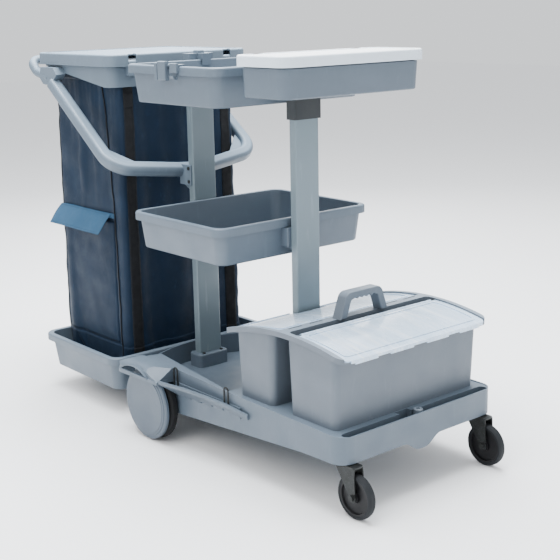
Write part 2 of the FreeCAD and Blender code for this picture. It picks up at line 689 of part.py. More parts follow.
def make_bag_frame():
    """Ring under the lid, deeper towards its front end."""
    deep = FRAME_TOP - 52
    ring = plate(FRAME_REAR, FRAME_FRONT, -FRAME_HALF, FRAME_HALF, 26, deep, FRAME_TOP)
    ring = ring.cut(plate(FRAME_REAR + WALL, FRAME_FRONT - WALL, -FRAME_HALF + WALL, FRAME_HALF - WALL,
                          26 - WALL, deep - 1, FRAME_TOP + 1))
    below = side_prism([(FRAME_REAR - 1, FRAME_TOP - 14), (-560, FRAME_TOP - 14), (FRAME_FRONT - 34, deep),
                        (FRAME_FRONT - 34, deep - 5), (FRAME_REAR - 1, deep - 5)], -300, 300)
    ring = ring.cut(below)
    flange = plate(FRAME_REAR - 6, FRAME_FRONT + 2, -FRAME_HALF - 3, FRAME_HALF + 3, 29,
                   FRAME_TOP - 3, FRAME_TOP)
    flange = flange.cut(plate(FRAME_REAR + 14, FRAME_FRONT - 14, -FRAME_HALF + 14, FRAME_HALF - 14, 14,
                              FRAME_TOP - 4, FRAME_TOP + 1))
    frame = ring.fuse(flange)
    x, z = BAG_PIN
    for ear in ears(x, z, HINGE_YS, EAR_W, FRAME_FRONT - 2, FRAME_TOP - 22):
        frame = frame.fuse(ear)
    for y in HINGE_YS:
        frame = frame.cut(cyl(PIN_R, V(x, y - 40, z), V(x, y + 40, z)))
    return frame.removeSplitter()


save("bag_frame", make_bag_frame())
bag_shell = lid_shell(BAG_LID_REAR, BAG_LID_FRONT, BAG_LID_HALF, 30, BAG_LID_BOTTOM, BAG_LID_TOP, 6)
save("bag_lid", hinged_lid(bag_shell, *BAG_PIN, -1))
save("bag_lid_pins", group(pins(*BAG_PIN, HINGE_YS, PIN_LEN, PIN_R)))

strut_run = STRUT_MID.sub(STRUT_TOP)
strut_len = strut_run.Length
strut_dir = V(strut_run.x, 0, strut_run.z).normalize()


def strut_place(shape):
    """Move a shape drawn flat (along the arm, across the cart) into the strut's sloping plane."""
    turn = FreeCAD.Rotation(ALONG_X, strut_dir)
    placed = shape.copy()
    placed.Placement = FreeCAD.Placement(STRUT_TOP, turn)
    return placed


def make_strut():
    bend_back = 44.0
    points = [V(0, -STRUT_HALF, 0), V(strut_len - bend_back, -STRUT_HALF, 0), V(strut_len, 0, 0),
              V(strut_len - bend_back, STRUT_HALF, 0), V(0, STRUT_HALF, 0)]
    path = rounded_path(points, [62, 320, 62])
    section = rounded(-STRUT_W / 2, STRUT_W / 2, -STRUT_H / 2, STRUT_H / 2, 12, 0)
    section.rotate(V(0, 0, 0), ALONG_Y, 90)
    section.rotate(V(0, 0, 0), ALONG_X, 90)
    section.translate(points[0])
    bar = path.makePipeShell([section], True, False)
    webs = []
    for side in (-1, 1):
        inner = STRUT_HALF - STRUT_W / 2 + 4
        end = strut_len - bend_back - STRUT_W / 2 + 4
        corners = [(end + 2, side * inner), (end - 62, side * inner), (end + 12, side * (inner - 70))]
        webs.append(plan_prism(corners, -3, 3))
    return strut_place(fuse([bar] + webs))


strut = make_strut()
save("strut_bar", strut)


def make_strut_bracket():
    """Saddle that bolts the middle of the strut to the rear post."""
    x = REAR_POST_X
    saddle = plate(STRUT_MID.x - 8, x + 4, -42, 42, 3, STRUT_MID.z - 34, STRUT_MID.z + 20)
    web = side_prism([(STRUT_MID.x - 8, STRUT_MID.z - 34), (x, STRUT_MID.z - 58), (x, STRUT_MID.z - 28),
                      (STRUT_MID.x - 8, STRUT_MID.z - 28)], -30, 30)
    whole = saddle.fuse(web).cut(post_block(x, 0.0, 0, 1000)).cut(strut)
    return group([max(whole.Solids, key=lambda part: part.Volume)])


save("strut_bracket", make_strut_bracket())

HANDLE_X = BAG_LID_REAR - 31
HANDLE_Z = 952.0
HANDLE_R = 13.0
handle_end = V(-566, 0, 906)


def make_push_handle():
    half = FRAME_HALF + HANDLE_R + 4
    near = []
    for x, z in ((handle_end.x, handle_end.z), (BAG_LID_REAR + 4, 921), (HANDLE_X, HANDLE_Z)):
        near.append(V(x, -half, z))
    far = [V(p.x, -p.y, p.z) for p in reversed(near)]
    return rod(near + far, HANDLE_R, [40, 27, 27, 40])


handle = make_push_handle()
save("push_handle", handle)


def make_handle_brackets():
    """Cheeks that join the handle's ends and the strut's ends to the bag frame."""
    made = []
    for side in (-1, 1):
        y0 = side * (FRAME_HALF + 0.05)
        y1 = side * (FRAME_HALF + 29)
        cheek = side_prism([(-606, 905), (-600, 936), (-528, 936), (-512, 917), (-530, 900), (-572, 888),
                            (-590, 890)], y0, y1)
        cheek = cheek.cut(handle).cut(strut).cut(make_bag_frame())
        made.append(max(cheek.Solids, key=lambda part: part.Volume))
    return group(made)


save("handle_brackets", make_handle_brackets())


def bolt(at, axis, r, head, length):
    """Domed screw: head out along axis, shank the other way."""
    shank = cyl(r, at - axis * length, at)
    cap = cyl(r * 1.9, at, at + axis * head)
    rims = [e for e in cap.Edges if e.BoundBox.Center.sub(at).dot(axis) > head - 0.1]
    cap = cap.makeFillet(head * 0.45, rims[:1])
    return shank.fuse(cap).removeSplitter()


# ---- laundry bag --------------------------------------------------------------------------

BAG_WALL = 3.0
bag_low = (-606.0, -288.0, 200.0, 14, BAG_TRAY_FLOOR + WALL + 8)
bag_high = (-622.0, -290.0, 188.0, 14, FRAME_TOP - 8)


def make_bag():
    outer = drafted(bag_low, bag_high)
    inner_low = shrunk(bag_low, BAG_WALL, bag_low[4] + BAG_WALL)
    inner_high = shrunk(bag_high, BAG_WALL, bag_high[4] + 1)
    return outer.cut(drafted(inner_low, inner_high))


save("laundry_bag", make_bag())
flap = Part.makePolygon([V(-603, -199.5, 546), V(-603, -203.5, 549), V(-603, -250, 496), V(-603, -246, 492),
                         V(-603, -199.5, 546)])
save("bag_pocket_flap", Part.Face(flap).extrude(V(268, 0, 0)))


def make_bag_hooks():
    """Short pegs on the frame that the bag's eyelets hang on."""
    made = []
    tip = bag_high[2] + 0.6
    root = FRAME_HALF - WALL
    for side in (-1, 1):
        for x, down in ((-322, 24), (-450, 24), (-590, 8)):
            z = FRAME_TOP - down
            made.append(cyl(4, V(x, side * tip, z), V(x, side * root, z)))
    return group(made)


save("bag_hooks", make_bag_hooks())

# ---- tool clip on the top tray ------------------------------------------------------------


def make_tool_clip():
    """Two broad jaws and a narrow hook that hang on the tray's right rim."""
    rim = TOP_TRAY_RIM
    out = -TRAY_HALF
    saddle = box(-17, 74, out - 5, out + 20, rim, rim + 4)
    inner_lip = box(-17, 74, out + 17, out + 20, rim - 14, rim + 4)
    jaws = []
    shapes = ((-17, -5, 9, 34, 7, 2), (1, 33, 12, 34, 11, 3), (46, 74, 8, 16, 7, 2))
    for x0, x1, depth, low, high, edge in shapes:
        jaw = box(x0, x1, out - depth, out - 0.1, rim - low, rim + high)
        front = out - depth + 0.1
        jaws.append(fillet_where(jaw, edge, lambda b: b.YMax < front))
    curl_out = cyl(9, V(52, out - 4, rim - 22), V(68, out - 4, rim - 22))
    curl_in = cyl(5.5, V(51, out - 4, rim - 22), V(69, out - 4, rim - 22))
    curl = curl_out.cut(curl_in).cut(box(50, 70, out - 20, out - 4, rim - 22, rim)).common(
        box(0, 100, out - 30, out - 0.1, 0, 2000))
    stem = box(52, 68, out - 4, out - 0.1, rim - 30, rim - 14)
    return fuse([saddle, inner_lip, *jaws, curl.fuse(stem)])


save("tool_clip", make_tool_clip())

# ---- caddy --------------------------------------------------------------------------------

NOTCH_HALF = 46.0              # recess in the caddy that clears the front post
NOTCH_FRONT = 255.0
FLAP_T = 3.0
FLAP_DROP = 4.0                # how far the flaps lie below the rim
FLAP_HALF = CADDY_HALF - 13.0


def arch_band(drop_top, drop_low, x0, x1, y0, y1):
    """Arched band between two depths below the rim's top edge, between x0 and x1."""
    circle = Part.Arc(*CADDY_ARCH).toShape()
    centre = circle.Curve.Center
    radius = circle.Curve.Radius
    outer = cyl(radius - drop_top, V(centre.x, y0, centre.z), V(centre.x, y1, centre.z))
    inner = cyl(radius - drop_low, V(centre.x, y0 - 1, centre.z), V(centre.x, y1 + 1, centre.z))
    return outer.common(box(x0, x1, y0, y1, 250, 500)).cut(inner)


def post_notch(grow):
    return box(CADDY_REAR - 60, NOTCH_FRONT + grow, -NOTCH_HALF - grow, NOTCH_HALF + grow, 0, 500)


BINS = {"rear": (240.0, 376.0), "front": (424.0, 588.0)}
BIN_HALF_TOP = 232.0
BIN_DRAFT = 6.0


def bin_solid(x0, x1, by, z0, z1):
    high = (x0 + by, x1 - by, BIN_HALF_TOP - by, 17 - by, z1)
    low = (x0 + BIN_DRAFT + by, x1 - BIN_DRAFT - by, BIN_HALF_TOP - 5 - by, 15 - by, z0)
    return drafted(low, high)


def make_caddy():
    rear = CADDY_REAR - 5
    front = CADDY_FRONT + 5
    plan = plate(CADDY_REAR, CADDY_FRONT, -CADDY_HALF, CADDY_HALF, 26, 250, 500)
    rim = arch_band(0, CADDY_RIM, rear, front, -CADDY_HALF - 5, CADDY_HALF + 5).common(plan)
    bed_half = FLAP_HALF + 0.5
    bed = box(CADDY_REAR - 30, SPINE_REAR, -bed_half, bed_half, 250, 500)
    bed = bed.fuse(box(SPINE_FRONT, CADDY_FRONT + 40, -bed_half, bed_half, 250, 500))
    bed_floor = FLAP_DROP + FLAP_T + FACE_GAP
    rim = rim.cut(arch_band(-1, bed_floor, rear, front, -300, 300).common(bed))
    tub = bin_solid(*BINS["rear"], 0, LEDGE, 372).fuse(bin_solid(*BINS["front"], 0, LEDGE, 376))
    under_rim = arch_band(CADDY_RIM - 0.5, 400, rear, front, -300, 300)
    under_rim = under_rim.fuse(box(rear, front, -300, 300, 100, 260))
    tub = tub.common(under_rim)
    whole = rim.fuse(tub)
    hollow = bin_solid(*BINS["rear"], WALL, LEDGE + WALL, 390).cut(post_notch(WALL))
    hollow = hollow.fuse(bin_solid(*BINS["front"], WALL, LEDGE + WALL, 390))
    whole = whole.cut(hollow).cut(post_notch(0))
    # slots along the spine on both sides of the handle
    for side in (-1, 1):
        for x in (SPINE_REAR + 5, SPINE_FRONT - 9):
            for y in (104, 168):
                whole = whole.cut(box(x, x + 4, side * y, side * (y + 40), 360, 400))
    for x, z in flap_pins:
        whole = whole.cut(hinge_rod(x, z))
    whole = whole.removeSplitter()
    for x, z in flap_pins:
        whole = whole.cut(cyl(HINGE_ROOM_R, V(x, -bed_half, z), V(x, bed_half, z)))
    return whole


def arch_z(x, drop):
    """Height of the arch at x, drop below its top edge."""
    circle = Part.Arc(*CADDY_ARCH).toShape().Curve
    return circle.Center.z + math.sqrt((circle.Radius - drop) ** 2 - (x - circle.Center.x) ** 2)


PIN_DROP = FLAP_DROP + FLAP_T / 2
rear_pin = (SPINE_REAR - 4.5, arch_z(SPINE_REAR - 4.5, PIN_DROP) + 0.6)
front_pin = (SPINE_FRONT + 4.5, arch_z(SPINE_FRONT + 4.5, PIN_DROP) + 0.6)
flap_pins = (rear_pin, front_pin)
ROD_R = 2.0                    # hinge rod of a flap
BARREL_R = 3.9                 # the flap's knuckle round it
BARREL_HALF = FLAP_HALF - 16
HINGE_ROOM_R = 4.8             # room in the caddy for the flap's hinge edge to turn


def hinge_rod(x, z):
    return cyl(ROD_R, V(x, -FLAP_HALF - 8, z), V(x, FLAP_HALF + 8, z))


def make_flap(x0, x1, pin, notch):
    """Thin arched flap with a raised border, knuckled along its hinge rod."""
    flap = arch_band(FLAP_DROP, FLAP_DROP + FLAP_T, x0 - 5, x1 + 5, -FLAP_HALF - 5, FLAP_HALF + 5)
    flap = flap.common(plate(x0, x1, -FLAP_HALF, FLAP_HALF, 12, 250, 500))
    raised = arch_band(FLAP_DROP - 2, FLAP_DROP + 1, x0, x1, -FLAP_HALF, FLAP_HALF)
    raised = raised.common(plate(x0 + 14, x1 - 14, -FLAP_HALF + 14, FLAP_HALF - 14, 12, 250, 500))
    panel = plate(x0 + 20, x1 - 20, -FLAP_HALF + 20, FLAP_HALF - 20, 9, 250, 500)
    flap = flap.fuse(raised.cut(panel))
    x, z = pin
    flap = flap.fuse(cyl(BARREL_R, V(x, -BARREL_HALF, z), V(x, BARREL_HALF, z)))
    if notch:
        flap = flap.cut(post_notch(3))
    return flap.cut(cyl(ROD_R + RUN_GAP, V(x, -300, z), V(x, 300, z))).removeSplitter()


def front_clips():
    """Lips on the front flap that snap over the rim's front edge."""
    z = arch_z(CADDY_FRONT - 2, FLAP_DROP)
    half = FLAP_HALF - 14
    out = CADDY_FRONT + 3.4
    lips = [box(CADDY_FRONT - 8, out, -half, half, z - 3, z - 0.2),
            box(out - 3, out, -half, half, z - 6.5, z - 0.2)]
    for y, tab_half in ((-168, 34), (-58, 36), (58, 36), (168, 34)):
        lips.append(box(out - 3, out, y - tab_half, y + tab_half, z - 10, z - 3))
    rim_room = arch_band(FLAP_DROP + FLAP_T, 60, 500, CADDY_FRONT + 0.3, -300, 300)
    return [lip.cut(rim_room) for lip in lips]


flap_rear = make_flap(CADDY_REAR + 4, SPINE_REAR - 0.6, rear_pin, True)
flap_front = make_flap(SPINE_FRONT + 0.6, CADDY_FRONT - 1, front_pin, False)
save("caddy_body", make_caddy())
save("caddy_flap_rear", flap_rear)
save("caddy_flap_front", flap_front.fuse(front_clips()).removeSplitter())
save("caddy_hinge_rods", group([hinge_rod(x, z) for x, z in flap_pins]))


def make_caddy_handle():
    """Fixed bail on the spine, with finger scallops under the grip."""
    top = 441.0
    foot = arch_z((SPINE_REAR + SPINE_FRONT) / 2, 0) - 0.5
    x0 = 411.0
    x1 = 441.0
    outline = [V(x0, -78, foot), V(x0, -56, top), V(x0, 56, top), V(x0, 78, foot)]
    slab = Part.Face(Part.makePolygon(outline + outline[:1])).extrude(V(x1 - x0, 0, 0))
    slab = fillet_where(slab, 20, lambda b: b.ZMin > top - 0.1 and b.YLength < 0.1)
    grip = top - 18
    hole = [V(x0 - 1, -57, foot - 1), V(x0 - 1, -42, grip), V(x0 - 1, 42, grip), V(x0 - 1, 57, foot - 1)]
    gap = Part.Face(Part.makePolygon(hole + hole[:1])).extrude(V(x1 - x0 + 2, 0, 0))
    gap = fillet_where(gap, 9, lambda b: b.ZMin > grip - 0.1 and b.YLength < 0.1)
    slab = slab.cut(gap)
    for i in range(5):
        y = (i - 2) * 15.0
        slab = slab.cut(cyl(7.5, V(x0 - 1, y, top - 21.5), V(x1 + 1, y, top - 21.5)))
    slab = slab.cut(arch_band(0, 60, x0 - 5, x1 + 5, -100, 100))

    def outer_edge(b):
        beside = b.ZMin > foot + 2 or abs(b.YMin) > 56 or abs(b.YMax) > 56
        return b.XLength < 0.1 and beside and b.YLength + b.ZLength > 20

    return fillet_where(slab, 3.0, outer_edge)


save("caddy_handle", make_caddy_handle())

# round buffer on the inside of the front rim, which stops the caddy sliding
latch_x = TROUGH_REAR + 12
latch_tall = LEDGE + 6 - TROUGH_FLOOR
latch = Part.makeCylinder(11.5, latch_tall, V(latch_x, 0, TROUGH_FLOOR))
latch = fillet_where(latch, 3, lambda b: b.ZMin > TROUGH_FLOOR + latch_tall - 0.1)
save("caddy_buffer", latch.cut(Part.makeCylinder(5, 6, V(latch_x, 0, LEDGE + 1))))

# ---- front casters ------------------------------------------------------------------------

WHEEL_R = CASTER_D / 2
PAD_Z = TROUGH_FLOOR - 4.0
CROWN_TOP = 121.6              # top plate of the fork, clear of the skirt as it swivels
CROWN_LOW = 117.6
LEG_IN = CASTER_TREAD / 2 + 1.8
LEG_OUT = LEG_IN + 2.8
HUB_R = 43.0
BOLT_R = 4.0
KING_R = 6.0


def caster_parts(y0):
    swivel = V(CASTER_SWIVEL_X, y0, 0)
    axle = V(CASTER_SWIVEL_X + CASTER_TRAIL, y0, WHEEL_R)
    x = swivel.x
    plate_top = plate(x - 27, x + 25, y0 - 22, y0 + 22, 10, PAD_Z - 4, PAD_Z)
    for dx in (-18, 16):
        for dy in (-14, 14):
            plate_top = plate_top.cut(cyl(3.2, V(x + dx, y0 + dy, PAD_Z - 5), V(x + dx, y0 + dy, PAD_Z + 1)))
    cup = PAD_Z - 4 - CROWN_TOP - FACE_GAP
    race = lathe([(KING_R, 0), (18, 0), (21, 4), (21, cup), (KING_R, cup)],
                 V(x, y0, CROWN_TOP + FACE_GAP), UP)
    top = plate_top.fuse(race).cut(cyl(KING_R, V(x, y0, 100), V(x, y0, PAD_Z - 0.5)))
    crown = plate(x - 24, x + 48, y0 - LEG_OUT, y0 + LEG_OUT, 7, CROWN_LOW, CROWN_TOP)
    crown = crown.fuse(cyl(24, V(x, y0, CROWN_LOW), V(x, y0, CROWN_TOP)))
    fork = crown
    for side in (-1, 1):
        inner = y0 + side * LEG_IN
        outer = y0 + side * LEG_OUT
        leg = side_prism([(x - 14, CROWN_LOW + 0.5), (x + 46, CROWN_LOW + 0.5), (axle.x + 9.5, 62),
                          (axle.x - 9.5, 54)], min(inner, outer), max(inner, outer))
        boss = cyl(11, V(axle.x, inner, WHEEL_R), V(axle.x, outer, WHEEL_R))
        fork = fork.fuse(leg.fuse(boss))
    fork = fork.cut(cyl(KING_R + RUN_GAP, V(x, y0, 100), V(x, y0, 140)))
    fork = fork.cut(cyl(BOLT_R, V(axle.x, y0 - 40, WHEEL_R), V(axle.x, y0 + 40, WHEEL_R))).removeSplitter()
    king = cyl(KING_R, V(x, y0, 114), V(x, y0, PAD_Z - 0.5))
    king = king.fuse(cyl(10, V(x, y0, 114), V(x, y0, CROWN_LOW - 0.3)))
    bolt_end = LEG_OUT + 5
    bar = cyl(BOLT_R, V(axle.x, y0 - bolt_end, WHEEL_R), V(axle.x, y0 + bolt_end, WHEEL_R))
    nuts = [cyl(7, V(axle.x, y0 + side * LEG_OUT, WHEEL_R), V(axle.x, y0 + side * bolt_end, WHEEL_R))
            for side in (-1, 1)]
    spindle = bar.fuse(nuts).removeSplitter()
    half = CASTER_TREAD / 2
    hub_half = half + 1.0
    seat = half - 1.0
    dish = HUB_R - 6
    near_side = [(14, hub_half), (14, half - 5.5), (dish, half - 5.5), (dish + 1.5, seat), (HUB_R, seat)]
    far_side = [(r, -d) for r, d in reversed(near_side)]
    bore = BOLT_R + RUN_GAP
    hub = lathe([(bore, hub_half)] + near_side + far_side + [(bore, -hub_half)], axle, ALONG_Y)
    shoulder = [(HUB_R, seat), (HUB_R + 1.5, half), (WHEEL_R - 3.5, half), (WHEEL_R - 0.8, half - 3),
                (WHEEL_R, half - 6)]
    tyre = lathe(shoulder + [(r, -d) for r, d in reversed(shoulder)], axle, ALONG_Y)
    return {"plate": top.removeSplitter(), "fork": fork, "king_pin": king.removeSplitter(), "axle": spindle,
            "hub": hub, "tyre": tyre}


for side_name, sign in SIDES.items():
    for piece, shape in caster_parts(sign * CASTER_HALF).items():
        save("caster_%s_%s" % (side_name, piece), shape)

# ---- rear wheels --------------------------------------------------------------------------

AXLE_END = REAR_COVER_IN - 1.5
AXLE_AT = V(REAR_WHEEL_X, 0, REAR_WHEEL_D / 2)
REAR_R = REAR_WHEEL_D / 2
RIM_R = 70.0


def rear_wheel(sign):
    axis = V(0, sign, 0)
    mid = (REAR_TYRE_IN + REAR_TYRE_OUT) / 2
    tyre = lathe([(RIM_R, REAR_TYRE_IN + 1), (REAR_R - 7, REAR_TYRE_IN), (REAR_R - 1.5, REAR_TYRE_IN + 4),
                  (REAR_R, mid - 5), (REAR_R, mid + 5), (REAR_R - 1.5, REAR_TYRE_OUT - 4),
                  (REAR_R - 7, REAR_TYRE_OUT), (RIM_R, REAR_TYRE_OUT - 1)], AXLE_AT, axis)
    bore = REAR_AXLE_R + RUN_GAP
    hub = lathe([(bore, REAR_TYRE_IN + 1.5), (22, REAR_TYRE_IN + 1.5), (22, mid - 4), (58, mid - 4),
                 (58, REAR_TYRE_IN + 3), (RIM_R, REAR_TYRE_IN + 1), (RIM_R, REAR_TYRE_OUT - 1),
                 (50, REAR_TYRE_OUT - 1), (50, REAR_COVER_IN), (44, REAR_COVER_IN), (44, mid + 4),
                 (22, mid + 4), (22, REAR_TYRE_OUT - 3), (bore, REAR_TYRE_OUT - 3)], AXLE_AT, axis)
    r = REAR_COVER_D / 2
    out = REAR_COVER_OUT
    cover = lathe([(0, REAR_COVER_IN), (r - 5, REAR_COVER_IN), (r, REAR_COVER_IN + 3), (r, out - 7),
                   (r - 3, out - 4), (r - 9, out - 3.4), (r - 9.6, out - 1.8), (r - 15, out - 1.2),
                   (r - 15.6, out), (0, out)], AXLE_AT, axis)
    return {"tyre": tyre, "hub": hub, "cover": cover}


for side_name, sign in SIDES.items():
    for piece, shape in rear_wheel(sign).items():
        save("rear_wheel_%s_%s" % (side_name, piece), shape)
save("rear_axle", cyl(REAR_AXLE_R, AXLE_AT - ALONG_Y * AXLE_END, AXLE_AT + ALONG_Y * AXLE_END))


def make_bushes():
    made = []
    inner_end = 232
    flange_end = REAR_TYRE_IN - 0.8
    for sign in (-1, 1):
        outline = [(REAR_AXLE_R, inner_end), (BUSH_R, inner_end), (BUSH_R, BASE_HALF), (15, BASE_HALF),
                   (15, flange_end), (REAR_AXLE_R, flange_end)]
        made.append(lathe(outline, AXLE_AT, V(0, sign, 0)))
    return group(made)


save("axle_bushes", make_bushes())
retainers = [lathe([(REAR_AXLE_R, REAR_TYRE_OUT - 2.5), (13, REAR_TYRE_OUT - 2.5), (13, REAR_TYRE_OUT),
                    (REAR_AXLE_R, REAR_TYRE_OUT)], AXLE_AT, V(0, sign, 0)) for sign in (-1, 1)]
save("axle_retainers", group(retainers))

# ---- screws -------------------------------------------------------------------------------

saddle_screws = []
for z in (STRUT_MID.z - 25, STRUT_MID.z + 11):
    for side in (-1, 1):
        saddle_screws.append(bolt(V(REAR_POST_X - 4, side * 42, z), ALONG_Y * side, 2.6, 2.6, 7))
save("strut_screws", group(saddle_screws))
deck_screws = []
for x, y in ((REAR_POST_X + 20, -30), (REAR_POST_X + 20, 30)):
    deck_screws.append(bolt(V(x, y, DECK + 38), UP, 2.6, 3, 14))
save("socket_screws", group(deck_screws))
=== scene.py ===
import json
import math
import random

import bpy
import numpy as np
from mathutils import Matrix, Vector


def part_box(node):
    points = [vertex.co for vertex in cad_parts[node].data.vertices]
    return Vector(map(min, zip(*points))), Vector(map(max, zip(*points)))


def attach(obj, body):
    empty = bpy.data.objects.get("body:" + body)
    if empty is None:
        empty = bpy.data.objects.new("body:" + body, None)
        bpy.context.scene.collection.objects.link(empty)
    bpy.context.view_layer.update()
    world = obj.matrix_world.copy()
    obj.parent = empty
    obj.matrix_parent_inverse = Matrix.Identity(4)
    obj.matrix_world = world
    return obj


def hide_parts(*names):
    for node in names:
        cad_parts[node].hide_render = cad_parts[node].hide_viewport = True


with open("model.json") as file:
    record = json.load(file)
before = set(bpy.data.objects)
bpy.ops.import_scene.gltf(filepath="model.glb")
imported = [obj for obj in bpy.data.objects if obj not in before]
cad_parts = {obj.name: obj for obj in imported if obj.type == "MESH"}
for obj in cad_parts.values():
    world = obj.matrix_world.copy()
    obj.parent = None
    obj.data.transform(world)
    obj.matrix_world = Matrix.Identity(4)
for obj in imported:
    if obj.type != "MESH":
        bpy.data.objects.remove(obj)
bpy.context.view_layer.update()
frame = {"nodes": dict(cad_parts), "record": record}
MM = 0.001


# ---- materials ----------------------------------------------------------------------------


def seen(r, g, b):
    """A colour as it looks, 0 to 255, as the linear colour that a shader takes."""
    channels = []
    for value in (r, g, b):
        c = value / 255
        channels.append(c / 12.92 if c < 0.04045 else ((c + 0.055) / 1.055) ** 2.4)
    return (*channels, 1.0)


def toned(colour, factor):
    return (*[min(1.0, c * factor) for c in colour[:3]], 1.0)


class Finish:
    """A procedural material, built up a layer at a time on a Principled shader."""

    def __init__(self, name, colour, **uniform):
        self.material = bpy.data.materials.new(name)
        self.material.use_nodes = True
        self.tree = self.material.node_tree
        self.shader = self.tree.nodes["Principled BSDF"]
        for socket, value in uniform.items():
            self.shader.inputs[socket.replace("_", " ")].default_value = value
        coordinates = self.node("ShaderNodeTexCoord")
        self.place = coordinates.outputs["Object"]
        self.facing = coordinates.outputs["Normal"]
        base = self.node("ShaderNodeRGB")
        base.outputs[0].default_value = colour
        self.colour = base.outputs[0]
        self.normal = None
        self.shader.inputs["Base Color"].default_value = colour

    def node(self, kind, inputs=None, **settings):
        made = self.tree.nodes.new(kind)
        for key, value in settings.items():
            setattr(made, key, value)
        for key, value in (inputs or {}).items():
            made.inputs[key].default_value = value
        return made

    def join(self, output, socket):
        self.tree.links.new(output, socket)

    def stretched(self, scale):
        place = self.node("ShaderNodeMapping", {"Scale": scale})
        self.join(self.place, place.inputs["Vector"])
        return place.outputs["Vector"]

    def noise(self, scale, detail=3.0, stretch=(1, 1, 1)):
        made = self.node("ShaderNodeTexNoise", {"Scale": scale, "Detail": detail})
        self.join(self.stretched(stretch), made.inputs["Vector"])
        return made.outputs[0]

    def ribs(self, direction, pitch, stretch=(1, 1, 1)):
        """Parallel ridges, one every pitch metres."""
        made = self.node("ShaderNodeTexWave", {"Scale": 0.314 / pitch}, bands_direction=direction)
        self.join(self.stretched(stretch), made.inputs["Vector"])
        return made.outputs["Fac"]

    def part_of(self, vector, axis):
        split = self.node("ShaderNodeSeparateXYZ")
        self.join(vector, split.inputs[0])
        return split.outputs[axis]

    def painted_shade_and_light(self, below, above):
        """Painted shade on the faces that turn down and painted light on the faces that turn up, set by the
        normal in object space.
        """
        up = self.part_of(self.facing, "Z")
        # painted shade: faces turning down are darkened
        self.tint(self.span(up, -0.25, -0.85, 0, 0.8), below)
        # painted light: faces turning up are lightened
        self.tint(self.span(up, 0.45, 0.95, 0, 0.7), above)

    def span(self, value, low, high, start=0.0, end=1.0):
        """A value's stretch from low to high as one from start to end."""
        made = self.node("ShaderNodeMapRange",
                         {"From Min": low, "From Max": high, "To Min": start, "To Max": end})
        self.join(value, made.inputs["Value"])
        return made.outputs["Result"]

    def times(self, first, second):
        made = self.node("ShaderNodeMath", operation="MULTIPLY")
        for i, value in enumerate((first, second)):
            if isinstance(value, float):
                made.inputs[i].default_value = value
            else:
                self.join(value, made.inputs[i])
        return made.outputs[0]

    def tint(self, share, colour):
        """Mix another colour in, by a share that changes over the surface."""
        made = self.node("ShaderNodeMix", data_type="RGBA")
        self.join(share, made.inputs[0])
        self.join(self.colour, made.inputs[6])
        made.inputs[7].default_value = colour
        self.colour = made.outputs[2]

    def rough(self, value):
        self.join(value, self.shader.inputs["Roughness"])

    def bump(self, value, depth, strength=1.0):
        made = self.node("ShaderNodeBump", {"Strength": strength, "Distance": depth})
        self.join(value, made.inputs["Height"])
        if self.normal is not None:
            self.join(self.normal, made.inputs["Normal"])
        self.normal = made.outputs["Normal"]

    def done(self):
        self.join(self.colour, self.shader.inputs["Base Color"])
        if self.normal is not None:
            self.join(self.normal, self.shader.inputs["Normal"])
        return self.material


def moulded(name, colour, roughness, grain=0.00010, scuffs=0.35, painted_top_light=1.5, **uniform):
    """Injection-moulded plastic: spark-eroded grain, slow drift of tone, scuffs and specks of dust, with
    painted shade underneath and painted light on top.
    """
    f = Finish(name, colour, **uniform)
    f.tint(f.span(f.noise(5, 2), 0.35, 0.70, 0, 0.45), toned(colour, 0.90))
    f.tint(f.span(f.noise(11, 4, (1, 1, 2.5)), 0.50, 0.75, 0, 0.5), toned(colour, 1.10))
    rub = f.span(f.noise(70, 6, (1, 1, 0.22)), 0.60, 0.72, 0, scuffs)
    f.tint(rub, toned(colour, 1.22))
    f.tint(f.span(f.noise(520, 2), 0.68, 0.74, 0, 0.5), toned(colour, 0.66))
    # painted shade under the piece and painted light on its up-facing faces
    f.painted_shade_and_light(toned(colour, 0.52), toned(colour, painted_top_light))
    f.rough(f.span(f.noise(18, 5), 0.30, 0.72, roughness - 0.09, roughness + 0.12))
    f.bump(f.noise(3, 1), 0.004, 0.25)
    f.bump(f.noise(1500, 2), grain)
    f.bump(rub, 0.00012)
    return f.done()


def clear_sheet():
    """Milky, see-through lid plastic with flow streaks and fine wiping scratches."""
    colour = seen(206, 228, 250)
    f = Finish("clear_plastic", colour, IOR=1.49, Transmission_Weight=0.10,
               Coat_Weight=0.6, Coat_Roughness=0.12)
    f.tint(f.span(f.noise(9, 4, (0.5, 2.6, 1)), 0.38, 0.72, 0, 0.75), seen(170, 196, 222))
    f.tint(f.span(f.noise(26, 5, (0.35, 3.4, 1)), 0.52, 0.72, 0, 0.8), seen(236, 246, 254))
    scratch = f.span(f.noise(150, 6, (0.12, 2.2, 1)), 0.62, 0.70, 0, 0.55)
    f.tint(scratch, seen(250, 252, 254))
    f.rough(f.span(f.noise(14, 5, (0.6, 2, 1)), 0.30, 0.70, 0.16, 0.38))
    f.bump(f.noise(7, 2, (0.7, 1.6, 1)), 0.005, 0.35)
    f.bump(scratch, 0.00008)
    return f.done()


def powder_coat():
    """Painted tube: orange peel, a faint vertical drift and small rub marks."""
    colour = seen(114, 129, 137)
    f = Finish("post_metal", colour, Metallic=0.15, Coat_Weight=0.12, Coat_Roughness=0.3)
    f.tint(f.span(f.noise(4, 2, (1, 1, 0.6)), 0.35, 0.70, 0, 0.6), seen(103, 117, 124))
    rub = f.span(f.noise(60, 6, (1, 1, 0.12)), 0.62, 0.72, 0, 0.4)
    f.tint(rub, seen(154, 166, 172))
    f.tint(f.span(f.noise(600, 2), 0.69, 0.75, 0, 0.45), seen(96, 104, 106))
    f.rough(f.span(f.noise(22, 4), 0.30, 0.70, 0.34, 0.52))
    f.bump(f.noise(420, 2), 0.00016)
    f.bump(rub, 0.0001)
    return f.done()


